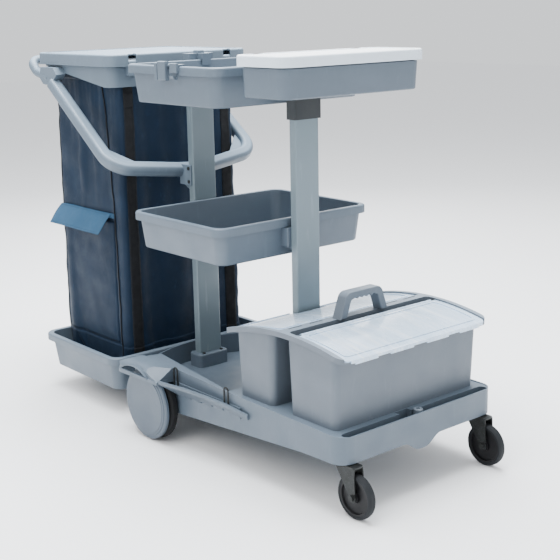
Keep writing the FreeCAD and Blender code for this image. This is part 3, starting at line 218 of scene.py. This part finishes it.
def plated_steel():
    """Zinc plate: clear spangle, draw lines and a little tarnish."""
    colour = seen(44, 46, 46)
    f = Finish("steel", colour, Metallic=0.25, Specular_IOR_Level=0.22)
    f.tint(f.span(f.noise(60, 4), 0.42, 0.66, 0, 0.7), seen(33, 34, 33))
    f.tint(f.span(f.noise(240, 5, (1, 1, 4)), 0.60, 0.70, 0, 0.6), seen(84, 86, 86))
    f.tint(f.span(f.noise(22, 5), 0.62, 0.76, 0, 0.5), seen(34, 30, 26))
    f.rough(f.span(f.noise(110, 5, (1, 1, 3)), 0.30, 0.70, 0.30, 0.52))
    f.bump(f.noise(700, 3, (1, 1, 4)), 0.00007)
    return f.done()


def rubber(name, colour, roughness):
    """Tyre rubber: matt, dusty where it rolls, with fine mould grain."""
    f = Finish(name, colour, Specular_IOR_Level=0.22)
    f.tint(f.span(f.noise(40, 5), 0.42, 0.70, 0, 0.7), toned(colour, 1.30))
    f.tint(f.span(f.noise(15, 4), 0.50, 0.74, 0, 0.45), toned(colour, 0.78))
    f.tint(f.span(f.noise(420, 3), 0.66, 0.74, 0, 0.6), toned(colour, 1.75))
    f.rough(f.span(f.noise(35, 4), 0.30, 0.70, roughness - 0.10, roughness + 0.08))
    f.bump(f.noise(900, 3), 0.00018)
    return f.done()


def coated_cloth(name, colour, worn):
    """Coated oxford cloth: a plain weave under a slightly shiny film that has creased and rubbed, with painted
    shade underneath and painted light on top.
    """
    f = Finish(name, colour, Specular_IOR_Level=0.16, Sheen_Weight=0.02)
    weft = f.ribs("Z", 0.0011)
    warp = f.ribs("DIAGONAL", 0.0011, (1, 1, 0.0001))
    weave = f.times(weft, warp)
    f.tint(f.span(f.noise(5, 3), 0.36, 0.68, 0, 0.65), toned(colour, 0.72))
    f.tint(f.span(f.noise(13, 5, (1, 1, 0.7)), 0.50, 0.76, 0, worn), toned(colour, 1.75))
    f.tint(f.span(f.noise(85, 6, (1, 1, 0.6)), 0.62, 0.74, 0, 0.40), toned(colour, 2.0))
    f.tint(f.times(weave, 0.30), toned(colour, 1.45))
    # painted shade on down-facing cloth and painted light on up-facing cloth
    f.painted_shade_and_light(toned(colour, 0.5), toned(colour, 1.5))
    f.rough(f.span(f.noise(20, 5), 0.30, 0.72, 0.46, 0.66))
    f.bump(weave, 0.00022)
    f.bump(f.noise(75, 5), 0.0011, 0.45)
    f.bump(f.noise(240, 4), 0.00030, 0.6)
    return f.done()


def webbing_cloth(name, colour):
    """Woven strap: strong ribs across it, with the sheen of polypropylene."""
    f = Finish(name, colour, Specular_IOR_Level=0.2, Sheen_Weight=0.03)
    ribs = f.ribs("Z", 0.0019)
    f.tint(f.times(ribs, 0.55), toned(colour, 2.1))
    f.tint(f.span(f.noise(30, 4), 0.50, 0.72, 0, 0.5), toned(colour, 1.6))
    f.rough(f.span(f.noise(60, 4), 0.30, 0.70, 0.55, 0.80))
    f.bump(ribs, 0.0004)
    f.bump(f.noise(700, 3), 0.00015)
    return f.done()


def thread_cloth(name, colour):
    f = Finish(name, colour, Specular_IOR_Level=0.2, Sheen_Weight=0.04)
    f.tint(f.span(f.noise(900, 3), 0.40, 0.65, 0, 0.7), toned(colour, 0.55))
    f.rough(f.span(f.noise(300, 3), 0.30, 0.70, 0.50, 0.75))
    f.bump(f.ribs("DIAGONAL", 0.0008), 0.0001)
    return f.done()


NAVY = seen(15, 33, 52)
materials = {
    "body_plastic": moulded("body_plastic", seen(84, 96, 108), 0.46),
    # The tray, frame and caddy plastics get stronger painted light on their up-facing faces.
    "tray_plastic": moulded("tray_plastic", seen(86, 98, 110), 0.42, painted_top_light=2.0),
    "frame_plastic": moulded("frame_plastic", seen(94, 108, 121), 0.44, painted_top_light=2.5),
    "caddy_plastic": moulded("caddy_plastic", seen(90, 99, 109), 0.46, painted_top_light=2.3),
    "lid_plastic": moulded("lid_plastic", seen(212, 224, 235), 0.38, grain=0.00007, scuffs=0.25),
    "collar_plastic": moulded("collar_plastic", seen(34, 38, 41), 0.52, scuffs=0.2),
    "hub_plastic": moulded("hub_plastic", seen(14, 14, 17), 0.48, scuffs=0.15, Specular_IOR_Level=0.3),
    "cover_plastic": moulded("cover_plastic", seen(70, 82, 95), 0.42),
    "clear_plastic": clear_sheet(),
    "post_metal": powder_coat(),
    "steel": plated_steel(),
    "tread_rubber": rubber("tread_rubber", seen(30, 32, 35), 0.72),
    "black_rubber": rubber("black_rubber", seen(20, 21, 23), 0.66),
    "bag_fabric": coated_cloth("bag_fabric", NAVY, 0.40),
    # The flap cloth is the bag cloth made lighter: painted light for the flap catching light from above.
    "flap_fabric": coated_cloth("flap_fabric", seen(42, 76, 103), 0.30),
}
webbing = webbing_cloth("webbing", seen(13, 14, 17))
beige_webbing = webbing_cloth("beige_webbing", seen(142, 129, 100))
piping_cloth = thread_cloth("piping_cloth", seen(9, 12, 18))
thread = thread_cloth("thread", seen(22, 33, 48))

for part in frame["record"]["subparts"]:
    shown = frame["nodes"][part["node"]]
    shown.data.materials.clear()
    shown.data.materials.append(materials[part["material_slot"]])


# ---- laundry bag --------------------------------------------------------------------------

bag_low, bag_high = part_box("laundry_bag")
BAG_SINK = 16 * MM                 # the bag is this much narrower along the cart at its foot
BAG_HALF_TOP = bag_high.y - 12 * MM
BAG_CORNER = 14 * MM
CLOTH = 1.6 * MM                   # thickness of the coated cloth
ROWS = 86
ALONG = 30                         # grid columns on a side face
ACROSS = 36                        # grid columns on an end face
ROUND = 3                          # grid columns round a corner
BAG_LEAN = 2 * MM                  # how far its front face leans back at the top
CREASE_OUT = 5.6 * MM              # how far a crease may leave the bag's plain shape
CREASE_IN = 8 * MM
SETTLE_FRAMES = 36                 # length of the cloth simulation
SLACK = 0.022                      # how much larger than its frame the cloth is cut
CORNER_HOLD = 0.12                 # how firmly the sewn corners keep their place in the simulation
GATHER = 0.8                       # share of the height above which the hem fills the faces out
CHANNEL_DEPTH = 2.6 * MM
SLUMP_DEPTH = 2.4 * MM
SLUMP_AT = 0.09                    # share of the height where the foot slumps
HEM_TALL = 30 * MM
FOOT_BAND = 118 * MM               # height of the reinforcing band
PILLOW = {"near": 6 * MM, "front": 2 * MM, "far": 5 * MM, "rear": 6 * MM}    # how far each face bellies out


def section(height):
    """Corners of the bag's cross-section at a share of its height: x0, x1, half width."""
    x0 = bag_low.x + BAG_SINK * (1 - height)
    x1 = bag_high.x - BAG_LEAN * height
    half = bag_high.y + (BAG_HALF_TOP - bag_high.y) * height
    return x0, x1, half


def outline(height):
    """Points round the section, starting on the near face at its rear corner, going forward."""
    x0, x1, half = section(height)
    r = BAG_CORNER
    runs = [
        ((x0 + r, -half), (x1 - r, -half), ALONG, (x1 - r, -half + r), -90),
        ((x1, -half + r), (x1, half - r), ACROSS, (x1 - r, half - r), 0),
        ((x1 - r, half), (x0 + r, half), ALONG, (x0 + r, half - r), 90),
        ((x0, half - r), (x0, -half + r), ACROSS, (x0 + r, -half + r), 180),
    ]
    points = []
    for start, end, count, centre, angle in runs:
        for i in range(count):
            t = i / count
            points.append((start[0] + (end[0] - start[0]) * t, start[1] + (end[1] - start[1]) * t))
        points.append(end)
        for i in range(1, ROUND):
            a = math.radians(angle + 90 * i / ROUND)
            points.append((centre[0] + r * math.cos(a), centre[1] + r * math.sin(a)))
    return points


COLUMNS = len(outline(0))
FRONT_FACE = ALONG + ROUND
FAR_FACE = FRONT_FACE + ACROSS + ROUND
FIRST_COLUMN = {"near": 0, "front": FRONT_FACE, "far": FAR_FACE, "rear": FAR_FACE + ALONG + ROUND}


def belly_at(height):
    """How full the faces are at a share of the height: nothing at the top, and a step up at GATHER."""
    if height < GATHER:
        return math.sin(math.pi * (1.15 * height + 0.08)) ** 0.7
    return (1 - height) * 3.6


def bag_grid():
    """Rest shape of the cloth as rows of points, slightly pillowed between its corners."""
    rows = []
    for j in range(ROWS + 1):
        height = j / ROWS
        z = bag_low.z + (bag_high.z - bag_low.z) * height
        belly = belly_at(height)
        ring = [(x, y, z) for x, y in outline(height)]
        for face, count, out in (("near", ALONG, (0, -1)), ("front", ACROSS, (1, 0)),
                                 ("far", ALONG, (0, 1)), ("rear", ACROSS, (-1, 0))):
            for i in range(count + 1):
                column = FIRST_COLUMN[face] + i
                push = PILLOW[face] * belly * math.sin(math.pi * i / count) ** 0.6
                x, y, _ = ring[column]
                ring[column] = (x + out[0] * push, y + out[1] * push, z)
        rows.append(ring)
    return np.array(rows)


def mesh_piece(name, points, faces, material):
    mesh = bpy.data.meshes.new(name)
    mesh.from_pydata([tuple(map(float, p)) for p in points], [], faces)
    mesh.materials.append(material)
    mesh.polygons.foreach_set("use_smooth", [True] * len(mesh.polygons))
    mesh.update()
    piece = bpy.data.objects.new(name, mesh)
    bpy.context.scene.collection.objects.link(piece)
    return piece


def ring_faces(rows, columns):
    faces = []
    for j in range(rows - 1):
        for i in range(columns):
            k = (i + 1) % columns
            faces.append((j * columns + i, j * columns + k, (j + 1) * columns + k, (j + 1) * columns + i))
    return faces


def grid_normals(grid):
    """Outward direction at each grid point of the ring."""
    round_it = np.roll(grid, -1, axis=1) - np.roll(grid, 1, axis=1)
    up = np.gradient(grid, axis=0)
    normal = np.cross(round_it, up)
    return normal / np.linalg.norm(normal, axis=2, keepdims=True)


def hang_cloth(grid):
    """Let the cloth hang between its hem and its foot with a little slack, and take the result."""
    sheet = mesh_piece("bag_trial", grid.reshape(-1, 3), ring_faces(ROWS + 1, COLUMNS), materials["bag_fabric"])
    held = sheet.vertex_groups.new(name="held")
    corners = (ALONG + 1, FAR_FACE - 2, FAR_FACE + ALONG + 1, COLUMNS - 2)
    for j in range(ROWS + 1):
        sewn_in = j <= 1 or j >= ROWS - 3
        for i in range(COLUMNS):
            if sewn_in:
                held.add([j * COLUMNS + i], 1.0, "REPLACE")
            elif min(abs(i - c) for c in corners) <= 1:
                held.add([j * COLUMNS + i], CORNER_HOLD, "REPLACE")
    cloth = sheet.modifiers.new("cloth", "CLOTH")
    settings = cloth.settings
    settings.quality = 6
    settings.mass = 0.35
    settings.tension_stiffness = 18
    settings.compression_stiffness = 18
    settings.shear_stiffness = 6
    settings.bending_stiffness = 1.6
    settings.air_damping = 2.0
    settings.vertex_group_mass = "held"
    settings.shrink_min = -SLACK
    settings.effector_weights.gravity = 0.5
    cloth.point_cache.frame_start = 1
    cloth.point_cache.frame_end = SETTLE_FRAMES
    scene = bpy.context.scene
    for step in range(1, SETTLE_FRAMES + 1):
        scene.frame_set(step)
    hung = sheet.evaluated_get(bpy.context.evaluated_depsgraph_get())
    points = np.zeros(len(hung.data.vertices) * 3)
    hung.data.vertices.foreach_get("co", points)
    scene.frame_set(1)
    bpy.data.objects.remove(sheet)
    return points.reshape(grid.shape)


def noise_wave(u, v, seed):
    """Smooth made-up waviness from a few sines."""
    pick = random.Random(seed)
    total = 0.0
    for k in range(5):
        a, b, c = pick.uniform(1, 5), pick.uniform(0.5, 3.5), pick.uniform(0, 6.28)
        total = total + np.sin(a * u + b * v + c + 0.8 * np.sin(b * u - a * v)) / (k + 1.5)
    return total


def creased(grid):
    """Add the folds that a used bag keeps: soft vertical channels, diagonal pulls and a slumped foot."""
    normal = grid_normals(grid)
    j, i = np.mgrid[0:ROWS + 1, 0:COLUMNS]
    u = i / COLUMNS * 2 * math.pi
    v = j / ROWS * 2 * math.pi
    ends = np.clip(np.minimum(j, ROWS - j) / 9, 0, 1)
    channels = noise_wave(3 * u, 0.25 * v, 3) * 0.9
    pulls = noise_wave(4 * u, 3 * v, 11) * 0.7
    foot = np.exp(-((j / ROWS - SLUMP_AT) / 0.05) ** 2) * np.sin(9 * u + 2 * np.sin(3 * u))
    push = (channels + pulls) * CHANNEL_DEPTH + foot * SLUMP_DEPTH
    return grid + normal * (push * ends)[..., None]


def hanging_bag():
    """The cloth as it hangs, creased, and kept within reach of its plain shape."""
    rest = bag_grid()
    rest_normal = grid_normals(rest)
    points = creased(hang_cloth(rest))
    outward = ((points - rest) * rest_normal).sum(axis=2)
    limited = np.clip(outward, -CREASE_IN, CREASE_OUT)
    return points + rest_normal * (limited - outward)[..., None]


bag_points = hanging_bag()
bag_normal = grid_normals(bag_points)


def on_bag(column, row, out=0.0):
    """Point on the hanging cloth at fractional grid places, out metres in front of it."""
    row = min(max(row, 0.0), ROWS - 1e-6)
    j = int(row)
    i = int(math.floor(column))
    fj = row - j
    fi = column - i
    total = np.zeros(3)
    for dj, wj in ((0, 1 - fj), (1, fj)):
        for di, wi in ((0, 1 - fi), (1, fi)):
            k = (i + di) % COLUMNS
            total += wj * wi * (bag_points[j + dj, k] + bag_normal[j + dj, k] * out)
    return total


def slab_faces(w, h):
    """Faces of a closed slab whose front layer, then back layer, is a grid w wide and h high."""
    faces = []
    for j in range(h - 1):
        for i in range(w - 1):
            a = j * w + i
            faces.append((a, a + 1, a + w + 1, a + w))
            b = a + w * h
            faces.append((b, b + w, b + w + 1, b + 1))
    for i in range(w - 1):
        for row, flip in ((0, False), (h - 1, True)):
            a = row * w + i
            b = a + w * h
            face = (a, b, b + 1, a + 1)
            faces.append(face[::-1] if flip else face)
    for j in range(h - 1):
        for column, flip in ((0, True), (w - 1, False)):
            a = j * w + column
            b = a + w * h
            face = (a, b, b + w, a + w)
            faces.append(face[::-1] if flip else face)
    return faces


def strip(name, columns, rows, lift, thick, material):
    """Flat band that follows the cloth: columns and rows are places on its grid, lift its height off it."""
    points = []
    for out in (lift + thick, lift):
        for r in rows:
            for c in columns:
                edge = c in (columns[0], columns[-1]) or r in (rows[0], rows[-1])
                points.append(on_bag(c, r, out - (0.35 * thick if edge and out > lift else 0)))
    piece = mesh_piece(name, points, slab_faces(len(columns), len(rows)), material)
    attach(piece, "frame")
    return piece


def span(start, end, count):
    return [start + (end - start) * k / count for k in range(count + 1)]


def tube(name, path, radius, material):
    """Round cord along a list of points."""
    sides = 8
    points = []
    faces = []
    for k, p in enumerate(path):
        ahead = np.array(path[min(k + 1, len(path) - 1)]) - np.array(path[max(k - 1, 0)])
        ahead = Vector(ahead).normalized()
        side = ahead.orthogonal().normalized() if k == 0 else side - ahead * side.dot(ahead)
        side.normalize()
        up = ahead.cross(side)
        for s in range(sides):
            a = 2 * math.pi * s / sides
            points.append(Vector(p) + side * radius * math.cos(a) + up * radius * math.sin(a))
    for k in range(len(path) - 1):
        for s in range(sides):
            t = (s + 1) % sides
            faces.append((k * sides + s, k * sides + t, (k + 1) * sides + t, (k + 1) * sides + s))
    faces.append(tuple(range(sides))[::-1])
    faces.append(tuple((len(path) - 1) * sides + s for s in range(sides)))
    piece = mesh_piece(name, points, faces, material)
    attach(piece, "frame")
    return piece


STITCH_PITCH = 5.2 * MM
STITCH_LONG = 3.4 * MM
THREAD_R = 0.45 * MM
THREAD_SHAPE = ((0, 0.55), (0.3, 1.0), (0.7, 1.0), (1, 0.55))    # how thick at shares of a stitch


def stitches(name, lines):
    """Rows of sewn thread: each line is a function of a share that gives a point, with its length."""
    sides = 5
    points = []
    faces = []
    for place, length in lines:
        count = int(length / STITCH_PITCH)
        reach = STITCH_LONG / length / 2
        for k in range(count):
            a = Vector(place((k + 0.5) / count - reach))
            b = Vector(place((k + 0.5) / count + reach))
            ahead = (b - a).normalized()
            side = ahead.orthogonal().normalized()
            up = ahead.cross(side)
            first = len(points)
            for share, full in THREAD_SHAPE:
                middle = a.lerp(b, share)
                for s in range(sides):
                    angle = 2 * math.pi * s / sides
                    across = side * math.cos(angle) + up * math.sin(angle)
                    points.append(middle + across * THREAD_R * full)
            for ring in (first, first + sides, first + 2 * sides):
                for s in range(sides):
                    t = (s + 1) % sides
                    faces.append((ring + s, ring + t, ring + sides + t, ring + sides + s))
            faces.append(tuple(first + s for s in range(sides))[::-1])
            faces.append(tuple(first + 3 * sides + s for s in range(sides)))
    piece = mesh_piece(name, points, faces, thread)
    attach(piece, "frame")
    return piece


BAG_TALL = bag_high.z - bag_low.z


def row_at(z):
    return (z - bag_low.z) / BAG_TALL * ROWS


def column_at(face, share):
    """Column at a share of a face: near and far run along the cart, front and rear across it."""
    count = ALONG if face in ("near", "far") else ACROSS
    return FIRST_COLUMN[face] + count * share


def make_shell():
    shell = mesh_piece("bag_cloth", bag_points.reshape(-1, 3), ring_faces(ROWS + 1, COLUMNS),
                       materials["bag_fabric"])
    thick = shell.modifiers.new("thickness", "SOLIDIFY")
    thick.thickness = CLOTH
    thick.offset = -1
    smooth = shell.modifiers.new("smooth", "SUBSURF")
    smooth.levels = smooth.render_levels = 1
    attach(shell, "frame")
    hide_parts("laundry_bag")
    return shell


def make_bottom():
    """Sewn-in floor panel, sagging between its edges."""
    ring = bag_points[0]
    centre = ring.mean(axis=0)
    points = []
    shares = (0.985, 0.92, 0.75, 0.5, 0.25)
    for share in shares:
        for p in ring:
            q = centre + (p - centre) * share
            bump = 1.2 * MM * math.sin(35 * q[0] + 3) * math.cos(27 * q[1])
            points.append((q[0], q[1], bag_low.z + 1.5 * MM + (0 if share > 0.9 else 1.0 * MM + bump)))
    points.append((centre[0], centre[1], bag_low.z + 2.5 * MM))
    faces = []
    for j in range(len(shares) - 1):
        for i in range(COLUMNS):
            k = (i + 1) % COLUMNS
            faces.append((j * COLUMNS + i, j * COLUMNS + k, (j + 1) * COLUMNS + k, (j + 1) * COLUMNS + i))
    last = (len(shares) - 1) * COLUMNS
    for i in range(COLUMNS):
        faces.append((last + i, last + (i + 1) % COLUMNS, len(points) - 1))
    floor_panel = mesh_piece("bag_floor_panel", points, faces, materials["bag_fabric"])
    thick = floor_panel.modifiers.new("thickness", "SOLIDIFY")
    thick.thickness = CLOTH
    thick.offset = 1
    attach(floor_panel, "frame")
    return floor_panel


STRAP = 3.0                        # grid columns that a strap covers
STRAP_SHARES = (("right", 0.045), ("left", 0.955))
strap_rows = span(0.5, row_at(bag_high.z - HEM_TALL), 150)


def strap_columns(face, share):
    middle = column_at(face, share)
    return span(middle - STRAP / 2, middle + STRAP / 2, 6)


def strap_places():
    """Name and grid columns of each strap."""
    for face in ("front", "rear"):
        for side, share in STRAP_SHARES:
            yield f"{face}_{side}", strap_columns(face, share if face == "front" else 1 - share)


def make_straps():
    made = []
    for name, columns in strap_places():
        made.append(strip(f"bag_strap_{name}", columns, strap_rows, 0.3 * MM, 1.5 * MM, webbing))
    return made


def make_bar_tacks():
    """Second layer of webbing, folded over and sewn down, near the top and the foot of each strap."""
    made = []
    half_tall = 19 * MM
    for name, columns in strap_places():
        for level, z in (("top", bag_high.z - 78 * MM), ("foot", bag_low.z + 96 * MM)):
            rows = span(row_at(z - half_tall), row_at(z + half_tall), 12)
            made.append(strip(f"bag_tack_{name}_{level}", columns, rows, 1.9 * MM, 1.3 * MM, webbing))
    return made


PIPING_FOOT = 0.945                # where the piping runs on a side face, from its rear corner
PIPING_LEAN = 0.155                # how much further back it is at the top
PIPING_BEND = 2.25                 # the lean grows with this power of the height


def piping_column(face, t):
    """Column of the piping at a share of the height: it curves towards the rear as it rises."""
    share = PIPING_FOOT - PIPING_LEAN * t ** PIPING_BEND
    return column_at(face, share if face == "near" else 1 - share)


def make_piping():
    made = []
    for face in ("near", "far"):
        path = [on_bag(piping_column(face, t), 0.8 + t * (ROWS - 5), 1.4 * MM) for t in span(0, 1, 160)]
        made.append(tube(f"bag_piping_{face}", path, 2.1 * MM, piping_cloth))
    for name, column in (("near_rear", COLUMNS - 1.5), ("far_rear", FAR_FACE + ALONG + 1.5)):
        path = [on_bag(column, 0.8 + t * (ROWS - 5), 0.9 * MM) for t in span(0, 1, 160)]
        made.append(tube(f"bag_piping_{name}", path, 1.9 * MM, piping_cloth))
    return made


def make_bands():
    """Reinforcing band round the foot and the hem at the mouth."""
    every = span(0, COLUMNS, COLUMNS * 2)
    foot = strip("bag_foot_band", every, span(0.4, row_at(bag_low.z + FOOT_BAND), 22), 0.2 * MM, 1.0 * MM,
                 materials["bag_fabric"])
    hem = strip("bag_hem", every, span(row_at(bag_high.z - HEM_TALL), ROWS - 0.05, 6), 0.2 * MM, 1.0 * MM,
                materials["bag_fabric"])
    return [foot, hem]


PEG_PLACES = (-0.322, -0.450)      # along the cart
PEG_Z = 0.917


def make_eyelets():
    """Steel rings round the pegs that hold the bag."""
    made = []
    ring_r = 7.5 * MM
    wire = 1.5 * MM
    for k, (x, side) in enumerate((x, side) for x in PEG_PLACES for side in (-1, 1)):
        y = side * (BAG_HALF_TOP + 1.6 * MM)
        path = []
        for s in range(25):
            a = 2 * math.pi * s / 24
            path.append((x + ring_r * math.cos(a), y, PEG_Z + ring_r * math.sin(a)))
        made.append(tube(f"bag_eyelet_{k}", path, wire, materials["steel"]))
    return made


flap_low, flap_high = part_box("bag_pocket_flap")


def make_flap():
    """Pocket flap, stiff and standing out from the bag, its free edge a little wavy and its corners curling."""
    across = 34
    down = 12
    top = Vector((0, flap_high.y - 2.5 * MM, flap_high.z - 2.5 * MM))
    free = Vector((0, flap_low.y + 2.5 * MM, flap_low.z + 3.5 * MM))
    x0 = flap_low.x + 1 * MM
    x1 = flap_high.x - 1 * MM
    out = Vector((0, free.z - top.z, top.y - free.y)).normalized()
    if out.z < 0:
        out = -out
    points = []
    for j in range(down + 1):
        t = j / down
        for i in range(across + 1):
            s = i / across
            p = top.lerp(free, t)
            p.x = x0 + (x1 - x0) * s + 3 * MM * t * (0.5 - s)
            wave = math.sin(5.1 * s + 0.8) * 1.6 + math.sin(13 * s + 2.2) * 0.8
            curl = 3.0 * (abs(2 * s - 1) ** 4)
            crown = 3.2 * math.sin(math.pi * min(1.0, t * 1.15)) * (1 - 0.4 * s)
            p = p + out * (crown + (wave - curl) * t) * MM * 0.8
            points.append(p)
    faces = []
    w = across + 1
    for j in range(down):
        for i in range(across):
            a = j * w + i
            faces.append((a, a + w, a + w + 1, a + 1))
    # the flap takes the lighter flap cloth, whose extra lightness is painted light
    flap = mesh_piece("pocket_flap", points, faces, materials["flap_fabric"])
    thick = flap.modifiers.new("thickness", "SOLIDIFY")
    thick.thickness = 1.8 * MM
    thick.offset = 0
    smooth = flap.modifiers.new("smooth", "SUBSURF")
    smooth.levels = smooth.render_levels = 1
    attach(flap, "frame")
    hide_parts("bag_pocket_flap")
    return flap, points, w


def flap_line(points, w, row):
    """Sewing line across the flap, along one of its grid rows."""
    run = [Vector(p) for p in points[row * w:(row + 1) * w]][1:-2]

    def place(t):
        at = min(max(t, 0), 0.9999) * (len(run) - 1)
        k = int(at)
        return run[k].lerp(run[k + 1], at - k) + Vector((0, -0.7 * MM, 0.9 * MM))

    return place, (run[-1] - run[0]).length


def face_share(x):
    """Share of the near face at a place along the cart, halfway up."""
    x0, x1, _ = section(0.5)
    return (x - x0 - BAG_CORNER) / (x1 - x0 - 2 * BAG_CORNER)


def make_pocket():
    """Puffed patch pocket below the flap, with a bound top edge, and the strip that holds the flap."""
    left = column_at("near", 0.03)
    right = column_at("near", face_share(flap_high.x) - 0.02)
    low = row_at(bag_low.z + FOOT_BAND + 6 * MM)
    high = row_at(flap_high.z - 16 * MM)
    columns = span(left, right, 34)
    rows = span(low, high, 60)
    points = []
    for layer in (1, 0):
        for r in rows:
            t = (r - low) / (high - low)
            for c in columns:
                s = (c - left) / (right - left)
                edge = min(s, 1 - s, t) * 9
                puff = math.sin(math.pi / 2 * min(1.0, edge))
                ripple = 0.5 * math.sin(21 * s + 5 * t) * math.sin(9 * t + 1) + 0.5 * math.sin(34 * t + 6 * s)
                lift = 0.5 + 5.0 * puff * (0.55 + 0.45 * t) + 0.9 * ripple * puff
                points.append(on_bag(c, r, (lift + layer * 1.2) * MM))
    pocket = mesh_piece("bag_pocket", points, slab_faces(len(columns), len(rows)), materials["bag_fabric"])
    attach(pocket, "frame")
    # The binding uses the lighter flap cloth, whose extra lightness is painted light.
    binding = strip("bag_flap_binding", span(column_at("near", 0.01), right + 0.4, 34),
                    span(row_at(flap_high.z - 8 * MM), row_at(flap_high.z + 5 * MM), 4), 0.3 * MM, 1.4 * MM,
                    materials["flap_fabric"])
    face_wide = 0.28
    area = (right - left) / ALONG * face_wide * (high - low) / ROWS * BAG_TALL
    return pocket, binding, area


TAB_Z = 0.765


def make_side_tab():
    """Small folded tab with its buckle on the rear face, near the near corner."""
    column = column_at("rear", 0.93)
    row = row_at(TAB_Z)
    tab = strip("bag_tab", span(column - 0.9, column + 0.9, 4), span(row - 3.2, row + 3.2, 10),
                0.3 * MM, 2.2 * MM, beige_webbing)
    middle = on_bag(column, row, 6.5 * MM)
    path = []
    for k in range(29):
        a = 2 * math.pi * k / 28
        across = 10 * MM * math.copysign(abs(math.cos(a)) ** 0.5, math.cos(a))
        tall = 14 * MM * math.copysign(abs(math.sin(a)) ** 0.5, math.sin(a))
        path.append((middle[0] - 1.5 * MM * math.sin(a), middle[1] + across, middle[2] + tall))
    buckle = tube("bag_tab_buckle", path, 1.6 * MM, beige_webbing)
    return [tab, buckle]


def row_line(column, low, high, out):
    """Vertical sewing line at a column: where it runs, and its length."""
    def place(t):
        return on_bag(column, low + (high - low) * t, out)

    return place, (high - low) / ROWS * BAG_TALL


def round_line(row, length):
    """Level sewing line all round the bag."""
    def place(t):
        return on_bag(COLUMNS * t, row, 1.3 * MM)

    return place, length


def piping_line(face, beside):
    """Sewing line beside the piping."""
    def place(t):
        return on_bag(piping_column(face, t) + beside, 2 + t * (ROWS - 8), 0.2 * MM)

    return place, BAG_TALL * 0.93


def make_bag_sewing():
    """Thread down both edges of each strap, beside the piping, and round the foot band."""
    lines = []
    for face in ("front", "rear"):
        for _, share in STRAP_SHARES:
            middle = column_at(face, share)
            for edge in (-1, 1):
                lines.append(row_line(middle + edge * STRAP * 0.42, 2, ROWS - 8, 1.9 * MM))
    for face in ("near", "far"):
        for edge in (-1, 1):
            lines.append(piping_line(face, edge * 0.45))
    whole_way = 2 * (bag_high.x - bag_low.x + 2 * bag_high.y) * 0.97
    for above_foot in (FOOT_BAND - 6 * MM, 6 * MM):
        lines.append(round_line(row_at(bag_low.z + above_foot), whole_way))
    return stitches("bag_sewing", lines)


shell = make_shell()
bottom = make_bottom()
straps = make_straps()
tacks = make_bar_tacks()
piping = make_piping()
bands = make_bands()
eyelets = make_eyelets()
flap, flap_points, flap_width = make_flap()
pocket, binding, pocket_area = make_pocket()
tab = make_side_tab()

sewing = make_bag_sewing()
flap_sewing = stitches("flap_sewing", [flap_line(flap_points, flap_width, row) for row in (11, 1)])


# ---- floor, lights and camera -------------------------------------------------------------

CAMERA_AT = Vector((2243.2, -1778.1, 1091.8)) * MM
LOOKS_AT = Vector((47.54, 32.14, 401.16)) * MM
ROLL = math.radians(-1.25)
LENS = 71.6                        # millimetres, on a 36 mm wide sensor
SHIFT = (0.0213, -0.0087)
CENTRE = (-0.05, 0, 0.45)          # what the lamps point at


def make_floor():
    size = 14
    floor = mesh_piece("floor", [(-size, -size, 0), (size, -size, 0), (size, size, 0), (-size, size, 0)],
                       [(0, 1, 2, 3)], Finish("floor", seen(250, 250, 251), Roughness=0.85).done())


def make_light(name, at, size, power, colour=(1, 1, 1)):
    data = bpy.data.lights.new(name, "AREA")
    data.shape = "SQUARE"
    data.size = size
    data.energy = power
    data.color = colour
    lamp = bpy.data.objects.new(name, data)
    lamp.location = at
    lamp.rotation_mode = "QUATERNION"
    lamp.rotation_quaternion = (Vector(CENTRE) - Vector(at)).to_track_quat("-Z", "Y")
    bpy.context.scene.collection.objects.link(lamp)


def make_world():
    world = bpy.data.worlds.new("studio")
    world.use_nodes = True
    background = world.node_tree.nodes["Background"]
    background.inputs["Color"].default_value = (0.94, 0.97, 1.0, 1)
    background.inputs["Strength"].default_value = 1.15
    bpy.context.scene.world = world


def make_camera():
    data = bpy.data.cameras.new("camera")
    data.lens = LENS
    data.sensor_width = 36
    data.shift_x, data.shift_y = SHIFT
    data.clip_start = 0.05
    data.clip_end = 60
    camera = bpy.data.objects.new("camera", data)
    away = (CAMERA_AT - LOOKS_AT).normalized()
    level = Vector((-away.y, away.x, 0)).normalized()
    upright = away.cross(level)
    right = level * math.cos(ROLL) + upright * math.sin(ROLL)
    up = upright * math.cos(ROLL) - level * math.sin(ROLL)
    turn = Matrix((right, up, away)).transposed()
    camera.matrix_world = Matrix.Translation(CAMERA_AT) @ turn.to_4x4()
    bpy.context.scene.collection.objects.link(camera)
    bpy.context.scene.camera = camera


make_floor()
make_world()
make_light("key", (0.6, -2.6, 2.9), 2.4, 70, (1.0, 0.985, 0.96))
make_light("side", (3.2, 0.8, 1.7), 2.2, 14, (0.95, 0.98, 1.0))
make_light("top", (-0.3, 0.1, 3.4), 2.6, 400, (0.93, 0.97, 1.0))
make_light("back", (-2.4, 2.0, 1.8), 1.8, 30)
make_camera()
